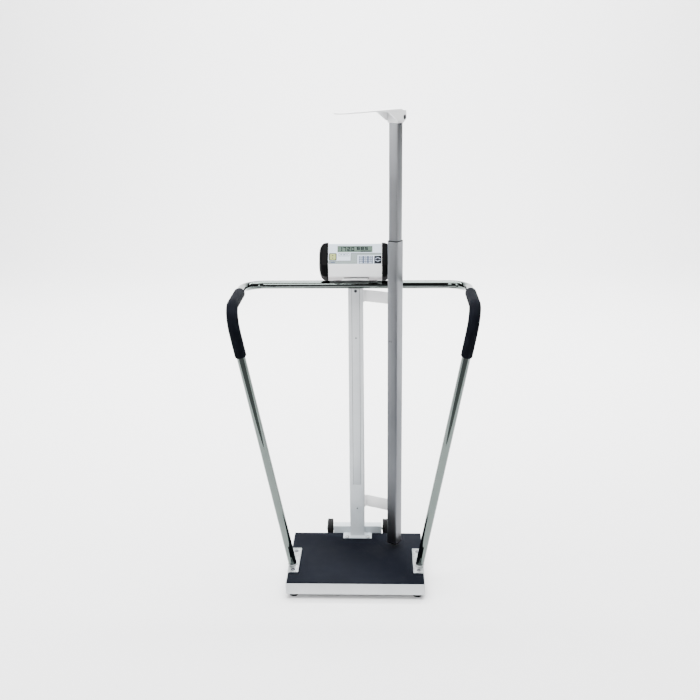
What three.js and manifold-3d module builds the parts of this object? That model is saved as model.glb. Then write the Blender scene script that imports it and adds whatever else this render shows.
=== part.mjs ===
// Digital clinic weighing scale with handrails and a telescoping height rod.
// Millimetres, +Z up, +Y to the rear. The origin is on the floor, under the middle of the whole object.

import * as THREE from "three";
import { mergeVertices } from "three/addons/utils/BufferGeometryUtils.js";
import Module from "manifold-3d";

const wasm = await Module();
wasm.setup();

// Clearances and faceting
const GAP = 0.3;
const ROUND_SIDES = 20;
const SMALL_SIDES = 12;
const CORNER_STEPS = 3;
const TUBE_SIDES = 14;
const BORE_SIDES = 8;

// Platform
const PLATFORM_WIDTH = 462;
const PLATFORM_DEPTH = 361;
const COVER_TOP = 55;
const SKIRT_HEIGHT = 38;
const COVER_WALL = 2;
const COVER_CORNER = 5;
const MAT_THICKNESS = 3;
const MAT_INSET = 2.5;
const MAT_CORNER = 2;
const MAT_TOP = COVER_TOP + GAP + MAT_THICKNESS;
const FRAME_HEIGHT = 15.4;
const FRAME_BAR = 24;
const FRAME_TOP = COVER_TOP - COVER_WALL - GAP;
const FRAME_BOTTOM = FRAME_TOP - FRAME_HEIGHT;

// Levelling feet and load cells
const FOOT_X = PLATFORM_WIDTH / 2 - 25;
const FOOT_Y = PLATFORM_DEPTH / 2 - 28.5;
const PAD_RADIUS = 15.5;
const PAD_HEIGHT = 7;
const PAD_FLOOR = 3;
const STUD_RADIUS = 5;
const STUD_TOP = 35;
const NUT_RADIUS = 9;
const NUT_BOTTOM = 8.5;
const NUT_HEIGHT = 5;
const CELL_LENGTH = 134;
const CELL_DEPTH = 24;
const CELL_HEIGHT = 17.5;
const CELL_END = 14;
const CELL_HOLE = 5;
const CELL_EYE_STEP = 12;
const CELL_SLOT = 3;
const BOX_HALF_WIDTH = 40;
const BOX_HALF_DEPTH = 30;
const SCREW_STOP = 3;

// Column
const COLUMN_WIDTH = 50.8;
const RAIL_RADIUS = 14;
const COLUMN_DEPTH = 2 * RAIL_RADIUS + 2;
const COLUMN_WALL = 3;
const COLUMN_CORNER = 2;
const COLUMN_Y = PLATFORM_DEPTH / 2 - COLUMN_DEPTH / 2 - 2.5;
const COLUMN_FRONT = COLUMN_Y - COLUMN_DEPTH / 2;
const COLUMN_REAR = COLUMN_Y + COLUMN_DEPTH / 2;
const BASE_WIDTH = 102;
const BASE_FRONT = COLUMN_FRONT - 12;
const BASE_THICKNESS = 5;
const BASE_SCREW_X = 37;
const BASE_SCREW_Y = BASE_FRONT + 7;
const BASE_TOP = COVER_TOP + GAP + BASE_THICKNESS;
const STRIP_WIDTH = 25.6;
const STRIP_THICKNESS = 1.5;
const STRIP_GROOVE = 1;
const STRIP_BOTTOM = MAT_TOP + 205;
const CABLE_HOLE = 6;
const TOP_SCREW_DROP = 8;
const MID_SCREW_DROP = 172;
const LOW_SCREW_Z = MAT_TOP + 113;
const TOP_SCREW = { radius: 3, head: 5.5, bite: 9 };
const STRIP_SCREW = { radius: 1.5, head: 2.6, bite: 3 };
const SADDLE_HEIGHT = 38;
const SADDLE_CABLE_X = 12;
const SADDLE_CABLE_Y = 4;

// Handrail
const RAIL_WALL = 2;
const RAIL_HEIGHT = 932;
const RAIL_HALF_WIDTH = 375.7;
const RAIL_FRONT_HALF_WIDTH = 373.3;
const RAIL_FRONT_Y = -192;
const RAIL_REAR_BEND = 70;
const RAIL_FRONT_BEND = 66;
const RAIL_FOOT_X = PLATFORM_WIDTH / 2 - 14.3;
const RAIL_FOOT_Y = -59.5;
const RAIL_Z = MAT_TOP + RAIL_HEIGHT;
const GRIP_WALL = 4.4;
const GRIP_BACK = 126;
const GRIP_LENGTH = 346;
const GRIP_END = 4;
const PLATE_WIDTH = 36;
const PLATE_FRONT = -115;
const PLATE_REAR = 48;
const PLATE_THICKNESS = 4;
const PLATE_LIP = 2.5;
const PLATE_X = PLATFORM_WIDTH / 2 - PLATE_WIDTH / 2 - 1;
const PLATE_BOTTOM = MAT_TOP + GAP;
const PLATE_TOP = PLATE_BOTTOM + PLATE_THICKNESS;
const SPIGOT_LENGTH = 40;
const SPIGOT_RADIUS = (RAIL_RADIUS - RAIL_WALL) * Math.cos(Math.PI / BORE_SIDES) - 2 * GAP;
const BOLT_RADIUS = 4;
const BOLT_HEAD = 7;
const BEND_STEPS = 6;
const BOLT_FRONT_Y = PLATE_FRONT + 16;
const BOLT_REAR_Y = PLATE_REAR - 18;
const COLUMN_TOP = RAIL_Z - 11.7;

// Indicator
const HOUSING_WIDTH = 176;
const HOUSING_DEPTH = 83;
const HOUSING_ABOVE_RAIL = 11;
const HOUSING_BOTTOM = RAIL_Z + RAIL_RADIUS + HOUSING_ABOVE_RAIL;
const HOUSING_REAR = COLUMN_REAR;
const HOUSING_WALL = 2.5;
const HOUSING_CORNER = 5;
const HOUSING_BACK_HEIGHT = 113;
const HOUSING_PEAK = 121;
const HOUSING_PEAK_REACH = 48;
const HOUSING_FACE_FOOT = 55;
const HOUSING_CHIN = 18;
const HOUSING_UNDERSIDE = 66;
const LIP_HALF_WIDTH = 41;
const LIP_REACH = 82;
const LIP_DEPTH = 10;
const LIP_DROP = 6;
const LIP_THICKNESS = 3;
const CAP_LENGTH = 31;
const CAP_SIZE = 1.025;
const CAP_CLOSE = 0.775;
const CAP_SQUARENESS = 3.4;
const CAP_STEPS = 8;
const CAP_MIDDLE_REACH = 40;
const CAP_MIDDLE_RISE = 60;
const TILT_OFFSET = 10.5;
const TILT_RISE = 16;
const TILT_LUG = 9;
const TILT_PIN_RADIUS = 3;
const YOKE_THICKNESS = 4;
const YOKE_DROP = 72;
const YOKE_TOP = RAIL_Z + 20;
const YOKE_LUG = TILT_LUG - 0.5;
const PIN_HEAD = 2.5;
const PIN_HEAD_THICKNESS = 3;
const LCD_WIDTH = 115;
const LCD_HEIGHT = 21;
const LCD_MARGIN = 10;
const BOARD_DEPTH = 13;
const BOARD_THICKNESS = 1.6;
const BATTERY_HALF_WIDTH = 58;
const BATTERY_DEPTH = 32;
const BATTERY_HEIGHT = 28;
const PANEL_THICKNESS = 1.2;
const RUBBER_X = 59;
const RUBBER_RADIUS = 15;
const RUBBER_HEIGHT = 7;

// Height rod, turned about its own axis to face the middle of the platform
const ROD_TURN = THREE.MathUtils.degToRad(-33);
const ROD_WIDTH = 38;
const ROD_DEPTH = 40;
const ROD_TUCK_X = 6;
const ROD_TUCK_Y = 11;
const ROD_X = HOUSING_WIDTH / 2 + CAP_LENGTH - ROD_TUCK_X + ROD_WIDTH / 2;
const ROD_Y = HOUSING_REAR - HOUSING_DEPTH + ROD_TUCK_Y - ROD_DEPTH / 2;
const ROD_WALL = 1.6;
const ROD_CORNER = 5;
const ROD_LIFT = 15;
const ROD_LENGTH = 1074;
const ROD_BOTTOM = MAT_TOP + ROD_LIFT;
const ROD_CAP = 3;
const ROD_CAP_INSERT = 7;
const COLLAR_LIP = 2.5;
const COLLAR_INSERT = 15;
const INNER_WIDTH = 34;
const INNER_DEPTH = 31;
const INNER_WALL = 1.5;
const INNER_CORNER = 4;
const INNER_LENGTH = 1060;
const INNER_EXPOSED = 371;
const OUTER_TOP = ROD_BOTTOM + ROD_CAP + GAP + ROD_LENGTH;
const INNER_TOP = OUTER_TOP + COLLAR_LIP + GAP + INNER_EXPOSED;
const SHOE_HEIGHT = 18;
const SHOE_SPIGOT = 15;

// Headpiece, in the height rod's own directions
const HEAD_OVERHANG = 2.5;
const HEAD_BLOCK_HEIGHT = 31;
const HEAD_REAR = 25;
const HEAD_PIN_Y = 15;
const HEAD_PIN_DROP = 14;
const HEAD_PIN_RADIUS = 4;
const HEAD_PIN_CAP = 7.5;
const HEAD_PIN_CAP_THICKNESS = 2;
const CHEEK_THICKNESS = 3.5;
const CHEEK_DROP = 10;
const CHEEK_NOSE = 4;
const GUSSET_LENGTH = 70;
const BLADE_LENGTH = 300;
const BLADE_ROOT = 12;
const BLADE_TIP = 3;
const BLADE_STEP = 5;
const BLADE_TIP_WIDTH = 40;
const BLADE_SHOULDER = 18;
const BLADE_RAMP = 7;
const CAP_SCREW_RADIUS = 2;
const CAP_SCREW_HEAD = 3;
const CAP_SCREW_BITE = 4;
const HEAD_TOP = INNER_TOP + GAP + HEAD_BLOCK_HEIGHT;
const HEAD_PIN_Z = HEAD_TOP - HEAD_PIN_DROP;

// Arms that hold the rod to the column
const ARM_THICKNESS = 4;
const ARM_FLANGE = 16;
const ARM_UPPER = { bottom: COLUMN_TOP - 46.3, top: COLUMN_TOP - 6.3 };
const ARM_LOWER = { bottom: MAT_TOP + 118, top: MAT_TOP + 162 };

// Transport wheels
const WHEEL_RADIUS = 35;
const WHEEL_WIDTH = 22;
const WHEEL_X = 101;
const WHEEL_Z = 56.5;
const WHEEL_Y = PLATFORM_DEPTH / 2 + 38.5;
const AXLE_RADIUS = 5;
const BRACKET_THICKNESS = 3;
const BRACKET_TOP = 84;
const BRACKET_BOTTOM = 24;
const BRACKET_REACH = 32;
const BRACKET_GAP = 3;
const EAR_HALF_HEIGHT = 12;
const EAR_MARGIN = 10;
const AXLE_HEAD = 3;
const HUB_RADIUS = 12;
const TYRE_DEPTH = 9;
const WHEEL_DISH = 4;

const paint = (color, roughness, metalness) => new THREE.MeshStandardMaterial({ color, roughness, metalness });
const WHITE_PAINT = paint(0xe4e8ea, 0.4, 0.1);
const MAT_RUBBER = paint(0x1c212a, 0.9, 0);
const BLACK_RUBBER = paint(0x1a1a1c, 0.85, 0);
const FOAM = paint(0x1a1e2a, 0.95, 0);
const CHROME = paint(0xcfd5d8, 0.08, 1);
const ZINC = paint(0x9aa0a2, 0.4, 1);
const DARK_STEEL = paint(0x34373a, 0.45, 1);
const FRAME_STEEL = paint(0x55595c, 0.5, 0.8);
const ALUMINIUM = paint(0x9a9ea6, 0.35, 1);
const WHITE_PLASTIC = paint(0xf0f1f4, 0.45, 0);
const BLACK_PLASTIC = paint(0x0d0d0f, 0.5, 0);
const PANEL_PRINT = paint(0xc9d3dd, 0.5, 0);
const DISPLAY = paint(0x7d8c80, 0.25, 0);
const BOARD = paint(0x245a3a, 0.6, 0);

// ---- solids ----

function toSolid(geometry) {
  const bare = geometry.clone();
  bare.deleteAttribute("normal");
  bare.deleteAttribute("uv");
  const merged = mergeVertices(bare);
  const kept = [];
  const index = merged.index.array;
  for (let i = 0; i < index.length; i += 3) {
    const [a, b, c] = [index[i], index[i + 1], index[i + 2]];
    if (a !== b && b !== c && c !== a) kept.push(a, b, c);
  }
  const vertProperties = new Float32Array(merged.attributes.position.array);
  return new wasm.Manifold(new wasm.Mesh({ numProp: 3, vertProperties, triVerts: new Uint32Array(kept) }));
}

function toGeometry(solid) {
  const mesh = solid.getMesh();
  const geometry = new THREE.BufferGeometry();
  geometry.setAttribute("position", new THREE.BufferAttribute(mesh.vertProperties, 3));
  geometry.setIndex(new THREE.BufferAttribute(mesh.triVerts, 1));
  return geometry;
}

function join(...pieces) {
  return toGeometry(pieces.map(toSolid).reduce((whole, piece) => whole.add(piece)));
}

function cut(piece, ...tools) {
  return toGeometry(tools.map(toSolid).reduce((whole, tool) => whole.subtract(tool), toSolid(piece)));
}

function common(piece, other) {
  return toGeometry(toSolid(piece).intersect(toSolid(other)));
}

// ---- shapes ----

const ALONG_X = new THREE.Matrix4().makeBasis(
  new THREE.Vector3(0, 1, 0), new THREE.Vector3(0, 0, 1), new THREE.Vector3(1, 0, 0));

function block([x0, x1], [y0, y1], [z0, z1]) {
  const geometry = new THREE.BoxGeometry(x1 - x0, y1 - y0, z1 - z0);
  return geometry.translate((x0 + x1) / 2, (y0 + y1) / 2, (z0 + z1) / 2);
}

function rodZ(radius, z0, z1, x = 0, y = 0, sides = ROUND_SIDES) {
  const geometry = new THREE.CylinderGeometry(radius, radius, z1 - z0, sides);
  return geometry.rotateX(Math.PI / 2).translate(x, y, (z0 + z1) / 2);
}

function rodX(radius, x0, x1, y = 0, z = 0, sides = ROUND_SIDES) {
  const geometry = new THREE.CylinderGeometry(radius, radius, x1 - x0, sides);
  return geometry.rotateZ(Math.PI / 2).translate((x0 + x1) / 2, y, z);
}

function rodY(radius, y0, y1, x = 0, z = 0, sides = ROUND_SIDES) {
  const geometry = new THREE.CylinderGeometry(radius, radius, y1 - y0, sides);
  return geometry.translate(x, (y0 + y1) / 2, z);
}

function turned(profile, sides = ROUND_SIDES) {
  const points = profile.map(([r, z]) => new THREE.Vector2(r, z));
  return new THREE.LatheGeometry(points, sides).rotateX(Math.PI / 2);
}

function roundedOutline(corners, radius) {
  const points = corners.map(([x, y]) => new THREE.Vector2(x, y));
  const shape = new THREE.Shape();
  points.forEach((corner, i) => {
    const before = points[(i + points.length - 1) % points.length];
    const after = points[(i + 1) % points.length];
    const toBefore = before.clone().sub(corner).normalize();
    const toAfter = after.clone().sub(corner).normalize();
    const half = Math.acos(toBefore.dot(toAfter)) / 2;
    const start = corner.clone().addScaledVector(toBefore, radius / Math.tan(half));
    const end = corner.clone().addScaledVector(toAfter, radius / Math.tan(half));
    if (i === 0) shape.moveTo(start.x, start.y);
    else shape.lineTo(start.x, start.y);
    shape.quadraticCurveTo(corner.x, corner.y, end.x, end.y);
  });
  shape.closePath();
  return shape;
}

function rectangle(width, depth, radius) {
  const [x, y] = [width / 2, depth / 2];
  return roundedOutline([[-x, -y], [x, -y], [x, y], [-x, y]], radius);
}

function extrudeZ(shape, z0, z1, curveSegments = CORNER_STEPS) {
  const geometry = new THREE.ExtrudeGeometry(shape, { depth: z1 - z0, bevelEnabled: false, curveSegments });
  return geometry.translate(0, 0, z0);
}

function extrudeX(shape, x0, x1, curveSegments = CORNER_STEPS) {
  const geometry = new THREE.ExtrudeGeometry(shape, { depth: x1 - x0, bevelEnabled: false, curveSegments });
  return geometry.applyMatrix4(ALONG_X).translate(x0, 0, 0);
}

function polygon(corners) {
  return new THREE.Shape(corners.map(([x, y]) => new THREE.Vector2(x, y)));
}

// A flat strap's outline: a centre line of given thickness with mitred bends.
function strap(centre, thickness) {
  const points = centre.map(([x, y]) => new THREE.Vector2(x, y));
  const side = (sign) => points.map((point, i) => {
    const before = points[Math.max(i - 1, 0)];
    const after = points[Math.min(i + 1, points.length - 1)];
    const first = (i === 0 ? after.clone().sub(point) : point.clone().sub(before)).normalize();
    const second = (i === points.length - 1 ? first.clone() : after.clone().sub(point).normalize());
    const normal = new THREE.Vector2(-first.y - second.y, first.x + second.x).normalize();
    const mitre = thickness / 2 / Math.abs(normal.dot(new THREE.Vector2(-first.y, first.x)));
    return point.clone().addScaledVector(normal, sign * mitre);
  });
  return new THREE.Shape([...side(-1), ...side(1).reverse()]);
}

// ---- tube route: straight runs joined by true arcs, sampled only where it bends ----

class Route extends THREE.Curve {
  constructor(stations) {
    super();
    this.stations = stations;
  }

  getPoint(t, target = new THREE.Vector3()) {
    return target.copy(this.stations[Math.round(t * (this.stations.length - 1))].point);
  }

  getPointAt(t, target) {
    return this.getPoint(t, target);
  }

  getTangentAt(t, target = new THREE.Vector3()) {
    return target.copy(this.stations[Math.round(t * (this.stations.length - 1))].tangent);
  }
}

function bendStations(before, corner, after, radius, steps) {
  const inward = before.clone().sub(corner).normalize();
  const outward = after.clone().sub(corner).normalize();
  const half = Math.acos(inward.dot(outward)) / 2;
  const bisector = inward.clone().add(outward).normalize();
  const centre = corner.clone().addScaledVector(bisector, radius / Math.sin(half));
  const start = corner.clone().addScaledVector(inward, radius / Math.tan(half)).sub(centre);
  const heading = inward.clone().negate();
  const sweep = Math.PI - 2 * half;
  return Array.from({ length: steps + 1 }, (_, i) => {
    const angle = (sweep * i) / steps;
    const point = centre.clone().addScaledVector(start, Math.cos(angle));
    point.addScaledVector(heading, radius * Math.sin(angle));
    const tangent = heading.clone().multiplyScalar(Math.cos(angle));
    tangent.addScaledVector(start, -Math.sin(angle) / radius);
    return { point, tangent: tangent.normalize() };
  });
}

function straightEnd(from, to) {
  return { point: from.clone(), tangent: to.clone().sub(from).normalize() };
}

function tubeAlong(stations, radius, sides) {
  const ring = new THREE.Shape(Array.from({ length: sides }, (_, i) => {
    const angle = (2 * Math.PI * i) / sides;
    return new THREE.Vector2(radius * Math.cos(angle), radius * Math.sin(angle));
  }));
  const settings = { steps: stations.length - 1, extrudePath: new Route(stations), bevelEnabled: false };
  return new THREE.ExtrudeGeometry(ring, settings);
}

// ---- assembly ----

const assembly = new THREE.Group();
const rodGroup = new THREE.Group();
rodGroup.position.set(ROD_X, ROD_Y, 0);
rodGroup.rotation.z = ROD_TURN;
assembly.add(rodGroup);

function add(name, geometry, material, parent = assembly) {
  const mesh = new THREE.Mesh(geometry, material);
  mesh.name = name;
  parent.add(mesh);
}

const SIDES = [["left", -1], ["right", 1]];
const CORNERS = [["fl", -1, -1], ["fr", 1, -1], ["rl", -1, 1], ["rr", 1, 1]];
const BOLT_PLACES = SIDES.flatMap(([side, s]) => [
  { name: `${side}_front`, x: s * PLATE_X, y: BOLT_FRONT_Y },
  { name: `${side}_rear`, x: s * PLATE_X, y: BOLT_REAR_Y },
]);

function boltHoles(z0, z1) {
  return BOLT_PLACES.map(({ x, y }) => rodZ(BOLT_RADIUS + GAP, z0, z1, x, y, SMALL_SIDES));
}

function baseScrewHoles(z0, z1) {
  return SIDES.map(([, s]) => rodZ(BOLT_RADIUS + GAP, z0, z1, s * BASE_SCREW_X, BASE_SCREW_Y, SMALL_SIDES));
}

function platformCover() {
  const bottom = COVER_TOP - SKIRT_HEIGHT;
  const outer = extrudeZ(rectangle(PLATFORM_WIDTH, PLATFORM_DEPTH, COVER_CORNER), bottom, COVER_TOP);
  const hollowWidth = PLATFORM_WIDTH - 2 * COVER_WALL;
  const hollowDepth = PLATFORM_DEPTH - 2 * COVER_WALL;
  const hollow = rectangle(hollowWidth, hollowDepth, COVER_CORNER - COVER_WALL);
  const inside = extrudeZ(hollow, bottom - 1, COVER_TOP - COVER_WALL);
  const cable = rodZ(CABLE_HOLE, FRAME_TOP, COVER_TOP + 1, 0, COLUMN_Y, SMALL_SIDES);
  const holes = [...boltHoles(FRAME_TOP, COVER_TOP + 1), ...baseScrewHoles(FRAME_TOP, COVER_TOP + 1)];
  return cut(outer, inside, cable, ...holes);
}

function platformFrame() {
  const height = [FRAME_BOTTOM, FRAME_TOP];
  const sideX = PLATE_X;
  const crossY = PLATFORM_DEPTH / 2 - 80;
  const innerX = FOOT_X + CELL_END - CELL_LENGTH + FRAME_BAR / 2;
  const long = FOOT_Y + CELL_DEPTH / 2;
  const half = FRAME_BAR / 2;
  const bars = [];
  for (const [, s] of SIDES) {
    bars.push(block([s * innerX - half, s * innerX + half], [-long, long], height));
    bars.push(block([s * sideX - half, s * sideX + half], [-crossY - half, crossY + half], height));
    bars.push(block([-sideX, sideX], [s * crossY - half, s * crossY + half], height));
  }
  bars.push(block([-innerX, innerX], [BASE_SCREW_Y - half, BASE_SCREW_Y + half], height));
  const low = FRAME_BOTTOM + SCREW_STOP;
  const holes = [...boltHoles(low, FRAME_TOP + 1), ...baseScrewHoles(low, FRAME_TOP + 1)];
  const cable = rodZ(CABLE_HOLE, FRAME_BOTTOM - 1, FRAME_TOP + 1, 0, COLUMN_Y, SMALL_SIDES);
  return cut(join(...bars), cable, ...holes);
}

function rubberMat() {
  const bottom = COVER_TOP + GAP;
  const width = PLATFORM_WIDTH - 2 * MAT_INSET;
  const depth = PLATFORM_DEPTH - 2 * MAT_INSET;
  const sheet = extrudeZ(rectangle(width, depth, MAT_CORNER), bottom, MAT_TOP);
  const notchHalf = BASE_WIDTH / 2 + GAP;
  const notch = block([-notchHalf, notchHalf], [BASE_FRONT - GAP, PLATFORM_DEPTH], [COVER_TOP, MAT_TOP + 1]);
  return cut(sheet, notch, ...boltHoles(COVER_TOP, MAT_TOP + 1));
}

function loadCell(sx, sy) {
  const outer = FOOT_X + CELL_END;
  const inner = outer - CELL_LENGTH;
  const top = FRAME_BOTTOM - GAP;
  const bottom = top - CELL_HEIGHT;
  const middleX = (outer + inner) / 2;
  const middleZ = (top + bottom) / 2;
  const reach = [FOOT_Y - CELL_DEPTH, FOOT_Y + CELL_DEPTH];
  const x = (value) => (sx > 0 ? value : [-value[1], -value[0]]);
  const y = (value) => (sy > 0 ? value : [-value[1], -value[0]]);
  const bar = block(x([inner, outer]), y([FOOT_Y - CELL_DEPTH / 2, FOOT_Y + CELL_DEPTH / 2]), [bottom, top]);
  const slotX = x([middleX - CELL_EYE_STEP, middleX + CELL_EYE_STEP]);
  const slot = block(slotX, y(reach), [middleZ - CELL_SLOT / 2, middleZ + CELL_SLOT / 2]);
  const eyes = [-CELL_EYE_STEP, CELL_EYE_STEP].map((step) =>
    rodY(CELL_HOLE, ...y(reach), sx * (middleX + step), middleZ, SMALL_SIDES));
  const stud = rodZ(STUD_RADIUS + GAP, bottom - 1, top + 1, sx * FOOT_X, sy * FOOT_Y, SMALL_SIDES);
  return cut(bar, slot, ...eyes, stud);
}

function junctionBox() {
  const x = [-BOX_HALF_WIDTH, BOX_HALF_WIDTH];
  return block(x, [-BOX_HALF_DEPTH, BOX_HALF_DEPTH], [FRAME_BOTTOM + 1, FRAME_TOP]);
}

function footStud(sx, sy) {
  const shank = rodZ(STUD_RADIUS, PAD_FLOOR + GAP, STUD_TOP, 0, 0, SMALL_SIDES);
  const nut = rodZ(NUT_RADIUS, NUT_BOTTOM, NUT_BOTTOM + NUT_HEIGHT, 0, 0, 6);
  return join(shank, nut).translate(sx * FOOT_X, sy * FOOT_Y, 0);
}

function footPad(sx, sy) {
  const bore = STUD_RADIUS + GAP;
  const profile = [
    [0, 0], [PAD_RADIUS - 1, 0], [PAD_RADIUS, 1], [PAD_RADIUS, PAD_HEIGHT - 3],
    [PAD_RADIUS - 4, PAD_HEIGHT], [bore, PAD_HEIGHT], [bore, PAD_FLOOR], [0, PAD_FLOOR],
  ];
  return toGeometry(toSolid(turned(profile))).translate(sx * FOOT_X, sy * FOOT_Y, 0);
}

add("platform_cover", platformCover(), WHITE_PAINT);
add("platform_frame", platformFrame(), FRAME_STEEL);
add("rubber_mat", rubberMat(), MAT_RUBBER);
add("junction_box", junctionBox(), BLACK_PLASTIC);
for (const [name, sx, sy] of CORNERS) {
  add(`load_cell_${name}`, loadCell(sx, sy), ALUMINIUM);
  add(`foot_stud_${name}`, footStud(sx, sy), ZINC);
  add(`foot_pad_${name}`, footPad(sx, sy), BLACK_RUBBER);
}

// ---- column ----

const RAIL_SEAT = () => rodX(RAIL_RADIUS + GAP, -COLUMN_WIDTH, COLUMN_WIDTH, COLUMN_Y, RAIL_Z, ROUND_SIDES);
const SCREW_LEVELS = [
  { name: "strip_screw_top", z: COLUMN_TOP - TOP_SCREW_DROP, ...TOP_SCREW },
  { name: "strip_screw_mid", z: COLUMN_TOP - MID_SCREW_DROP, ...STRIP_SCREW },
  { name: "strip_screw_low", z: LOW_SCREW_Z, ...STRIP_SCREW },
];

function screwHoles(y0, y1) {
  return SCREW_LEVELS.map(({ z, radius }) => rodY(radius + GAP, y0, y1, 0, z, SMALL_SIDES));
}

function columnBase() {
  const halfWidth = BASE_WIDTH / 2;
  const rear = PLATFORM_DEPTH / 2;
  const plate = block([-halfWidth, halfWidth], [BASE_FRONT, rear], [COVER_TOP + GAP, BASE_TOP]);
  const cable = rodZ(CABLE_HOLE, COVER_TOP, BASE_TOP + 1, 0, COLUMN_Y, SMALL_SIDES);
  return cut(plate, cable, ...baseScrewHoles(COVER_TOP, BASE_TOP + 1));
}

function columnTube() {
  const bottom = BASE_TOP + GAP;
  const outer = rectangle(COLUMN_WIDTH, COLUMN_DEPTH, COLUMN_CORNER);
  const bore = rectangle(COLUMN_WIDTH - 2 * COLUMN_WALL, COLUMN_DEPTH - 2 * COLUMN_WALL, COLUMN_CORNER / 2);
  const tube = cut(extrudeZ(outer, bottom, COLUMN_TOP, 2), extrudeZ(bore, bottom - 1, COLUMN_TOP + 1, 1));
  tube.translate(0, COLUMN_Y, 0);
  const grooveHalf = STRIP_WIDTH / 2 + STRIP_GROOVE;
  const grooveDepth = COLUMN_FRONT + STRIP_THICKNESS + GAP;
  const recess = block([-grooveHalf, grooveHalf], [COLUMN_FRONT - 1, grooveDepth], [STRIP_BOTTOM, RAIL_Z]);
  return cut(tube, recess, RAIL_SEAT(), ...screwHoles(COLUMN_FRONT - 1, COLUMN_FRONT + COLUMN_WALL + 1));
}

function frontStrip() {
  const half = STRIP_WIDTH / 2;
  const bottom = STRIP_BOTTOM + STRIP_GROOVE;
  const strip = block([-half, half], [COLUMN_FRONT, COLUMN_FRONT + STRIP_THICKNESS], [bottom, COLUMN_TOP]);
  return cut(strip, ...screwHoles(COLUMN_FRONT - 1, COLUMN_FRONT + COLUMN_WALL));
}

function columnScrew({ z, radius, head, bite }) {
  const headLength = head / 2;
  const length = COLUMN_WALL + bite;
  const profile = [
    [0, -length], [radius, -length], [radius, GAP], [head, GAP],
    [head, headLength * 0.6], [head * 0.7, headLength + GAP], [0, headLength + GAP],
  ];
  const screw = toGeometry(toSolid(turned(profile, SMALL_SIDES)));
  return screw.rotateX(Math.PI / 2).translate(0, COLUMN_FRONT, z);
}

function railSaddle() {
  const halfWidth = COLUMN_WIDTH / 2 - COLUMN_WALL - GAP;
  const halfDepth = COLUMN_DEPTH / 2 - COLUMN_WALL - GAP;
  const outline = rectangle(2 * halfWidth, 2 * halfDepth, COLUMN_CORNER);
  const body = extrudeZ(outline, COLUMN_TOP - SADDLE_HEIGHT, COLUMN_TOP, 2).translate(0, COLUMN_Y, 0);
  const low = COLUMN_TOP - SADDLE_HEIGHT - 1;
  const cable = rodZ(CABLE_HOLE, low, RAIL_Z, SADDLE_CABLE_X, COLUMN_Y + SADDLE_CABLE_Y, SMALL_SIDES);
  const deep = COLUMN_FRONT + COLUMN_WALL + TOP_SCREW.bite + SCREW_STOP;
  return cut(body, RAIL_SEAT(), cable, ...screwHoles(COLUMN_FRONT, deep));
}

function panScrew(radius, head, top, length, x, y) {
  const profile = [
    [0, -length], [radius, -length], [radius, GAP], [head, GAP],
    [head, GAP + head * 0.3], [head * 0.7, GAP + head * 0.5], [0, GAP + head * 0.5],
  ];
  return toGeometry(toSolid(turned(profile, SMALL_SIDES))).translate(x, y, top);
}

// A screw from a given height down into the frame's bars, stopping short of their underside.
function intoFrame(top) {
  return top - FRAME_BOTTOM - 2 * SCREW_STOP;
}

add("column_base", columnBase(), WHITE_PAINT);
add("column_tube", columnTube(), WHITE_PAINT);
add("column_front_strip", frontStrip(), WHITE_PAINT);
add("rail_saddle", railSaddle(), FRAME_STEEL);
for (const level of SCREW_LEVELS) add(level.name, columnScrew(level), DARK_STEEL);
for (const [side, s] of SIDES) {
  const screw = panScrew(BOLT_RADIUS, BOLT_HEAD, BASE_TOP, intoFrame(BASE_TOP), s * BASE_SCREW_X, BASE_SCREW_Y);
  add(`base_screw_${side}`, screw, ZINC);
}

// ---- handrail ----

function railCorners(s) {
  return {
    middle: new THREE.Vector3(0, COLUMN_Y, RAIL_Z),
    rear: new THREE.Vector3(s * RAIL_HALF_WIDTH, COLUMN_Y, RAIL_Z),
    front: new THREE.Vector3(s * RAIL_FRONT_HALF_WIDTH, RAIL_FRONT_Y, RAIL_Z),
    foot: new THREE.Vector3(s * RAIL_FOOT_X, RAIL_FOOT_Y, PLATE_TOP),
  };
}

function halfRail(s) {
  const { middle, rear, front, foot } = railCorners(s);
  const below = foot.clone().addScaledVector(foot.clone().sub(front).normalize(), RAIL_RADIUS);
  return [
    ...bendStations(middle, rear, front, RAIL_REAR_BEND, BEND_STEPS),
    ...bendStations(rear, front, foot, RAIL_FRONT_BEND, BEND_STEPS),
    straightEnd(below, below.clone().add(foot).sub(front)),
  ];
}

function reversed(stations) {
  return stations.slice().reverse().map(({ point, tangent }) => ({ point, tangent: tangent.clone().negate() }));
}

function handrailTube() {
  const stations = [...reversed(halfRail(-1)), ...halfRail(1)];
  const bore = tubeAlong(stations, RAIL_RADIUS - RAIL_WALL, BORE_SIDES);
  const tube = cut(tubeAlong(stations, RAIL_RADIUS, TUBE_SIDES), bore);
  const reach = RAIL_HALF_WIDTH;
  return cut(tube, block([-reach, reach], [-reach, reach], [0, PLATE_TOP + GAP]));
}

// The foam grip covers the rail from a point behind its front bend to part way down the leg.
function gripStations(s, short) {
  const { rear, front, foot } = railCorners(s);
  const bend = bendStations(rear, front, foot, RAIL_FRONT_BEND, BEND_STEPS);
  const backward = front.clone().sub(rear).normalize();
  const downward = foot.clone().sub(front).normalize();
  const start = rear.clone().addScaledVector(backward, GRIP_BACK + short);
  const bendLength = bend.slice(1).reduce((sum, b, i) => sum + b.point.distanceTo(bend[i].point), 0);
  const tail = GRIP_LENGTH - start.distanceTo(bend[0].point) - bendLength - 2 * short;
  const end = bend[bend.length - 1].point.clone().addScaledVector(downward, tail);
  return [{ point: start, tangent: backward }, ...bend, { point: end, tangent: downward }];
}

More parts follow.
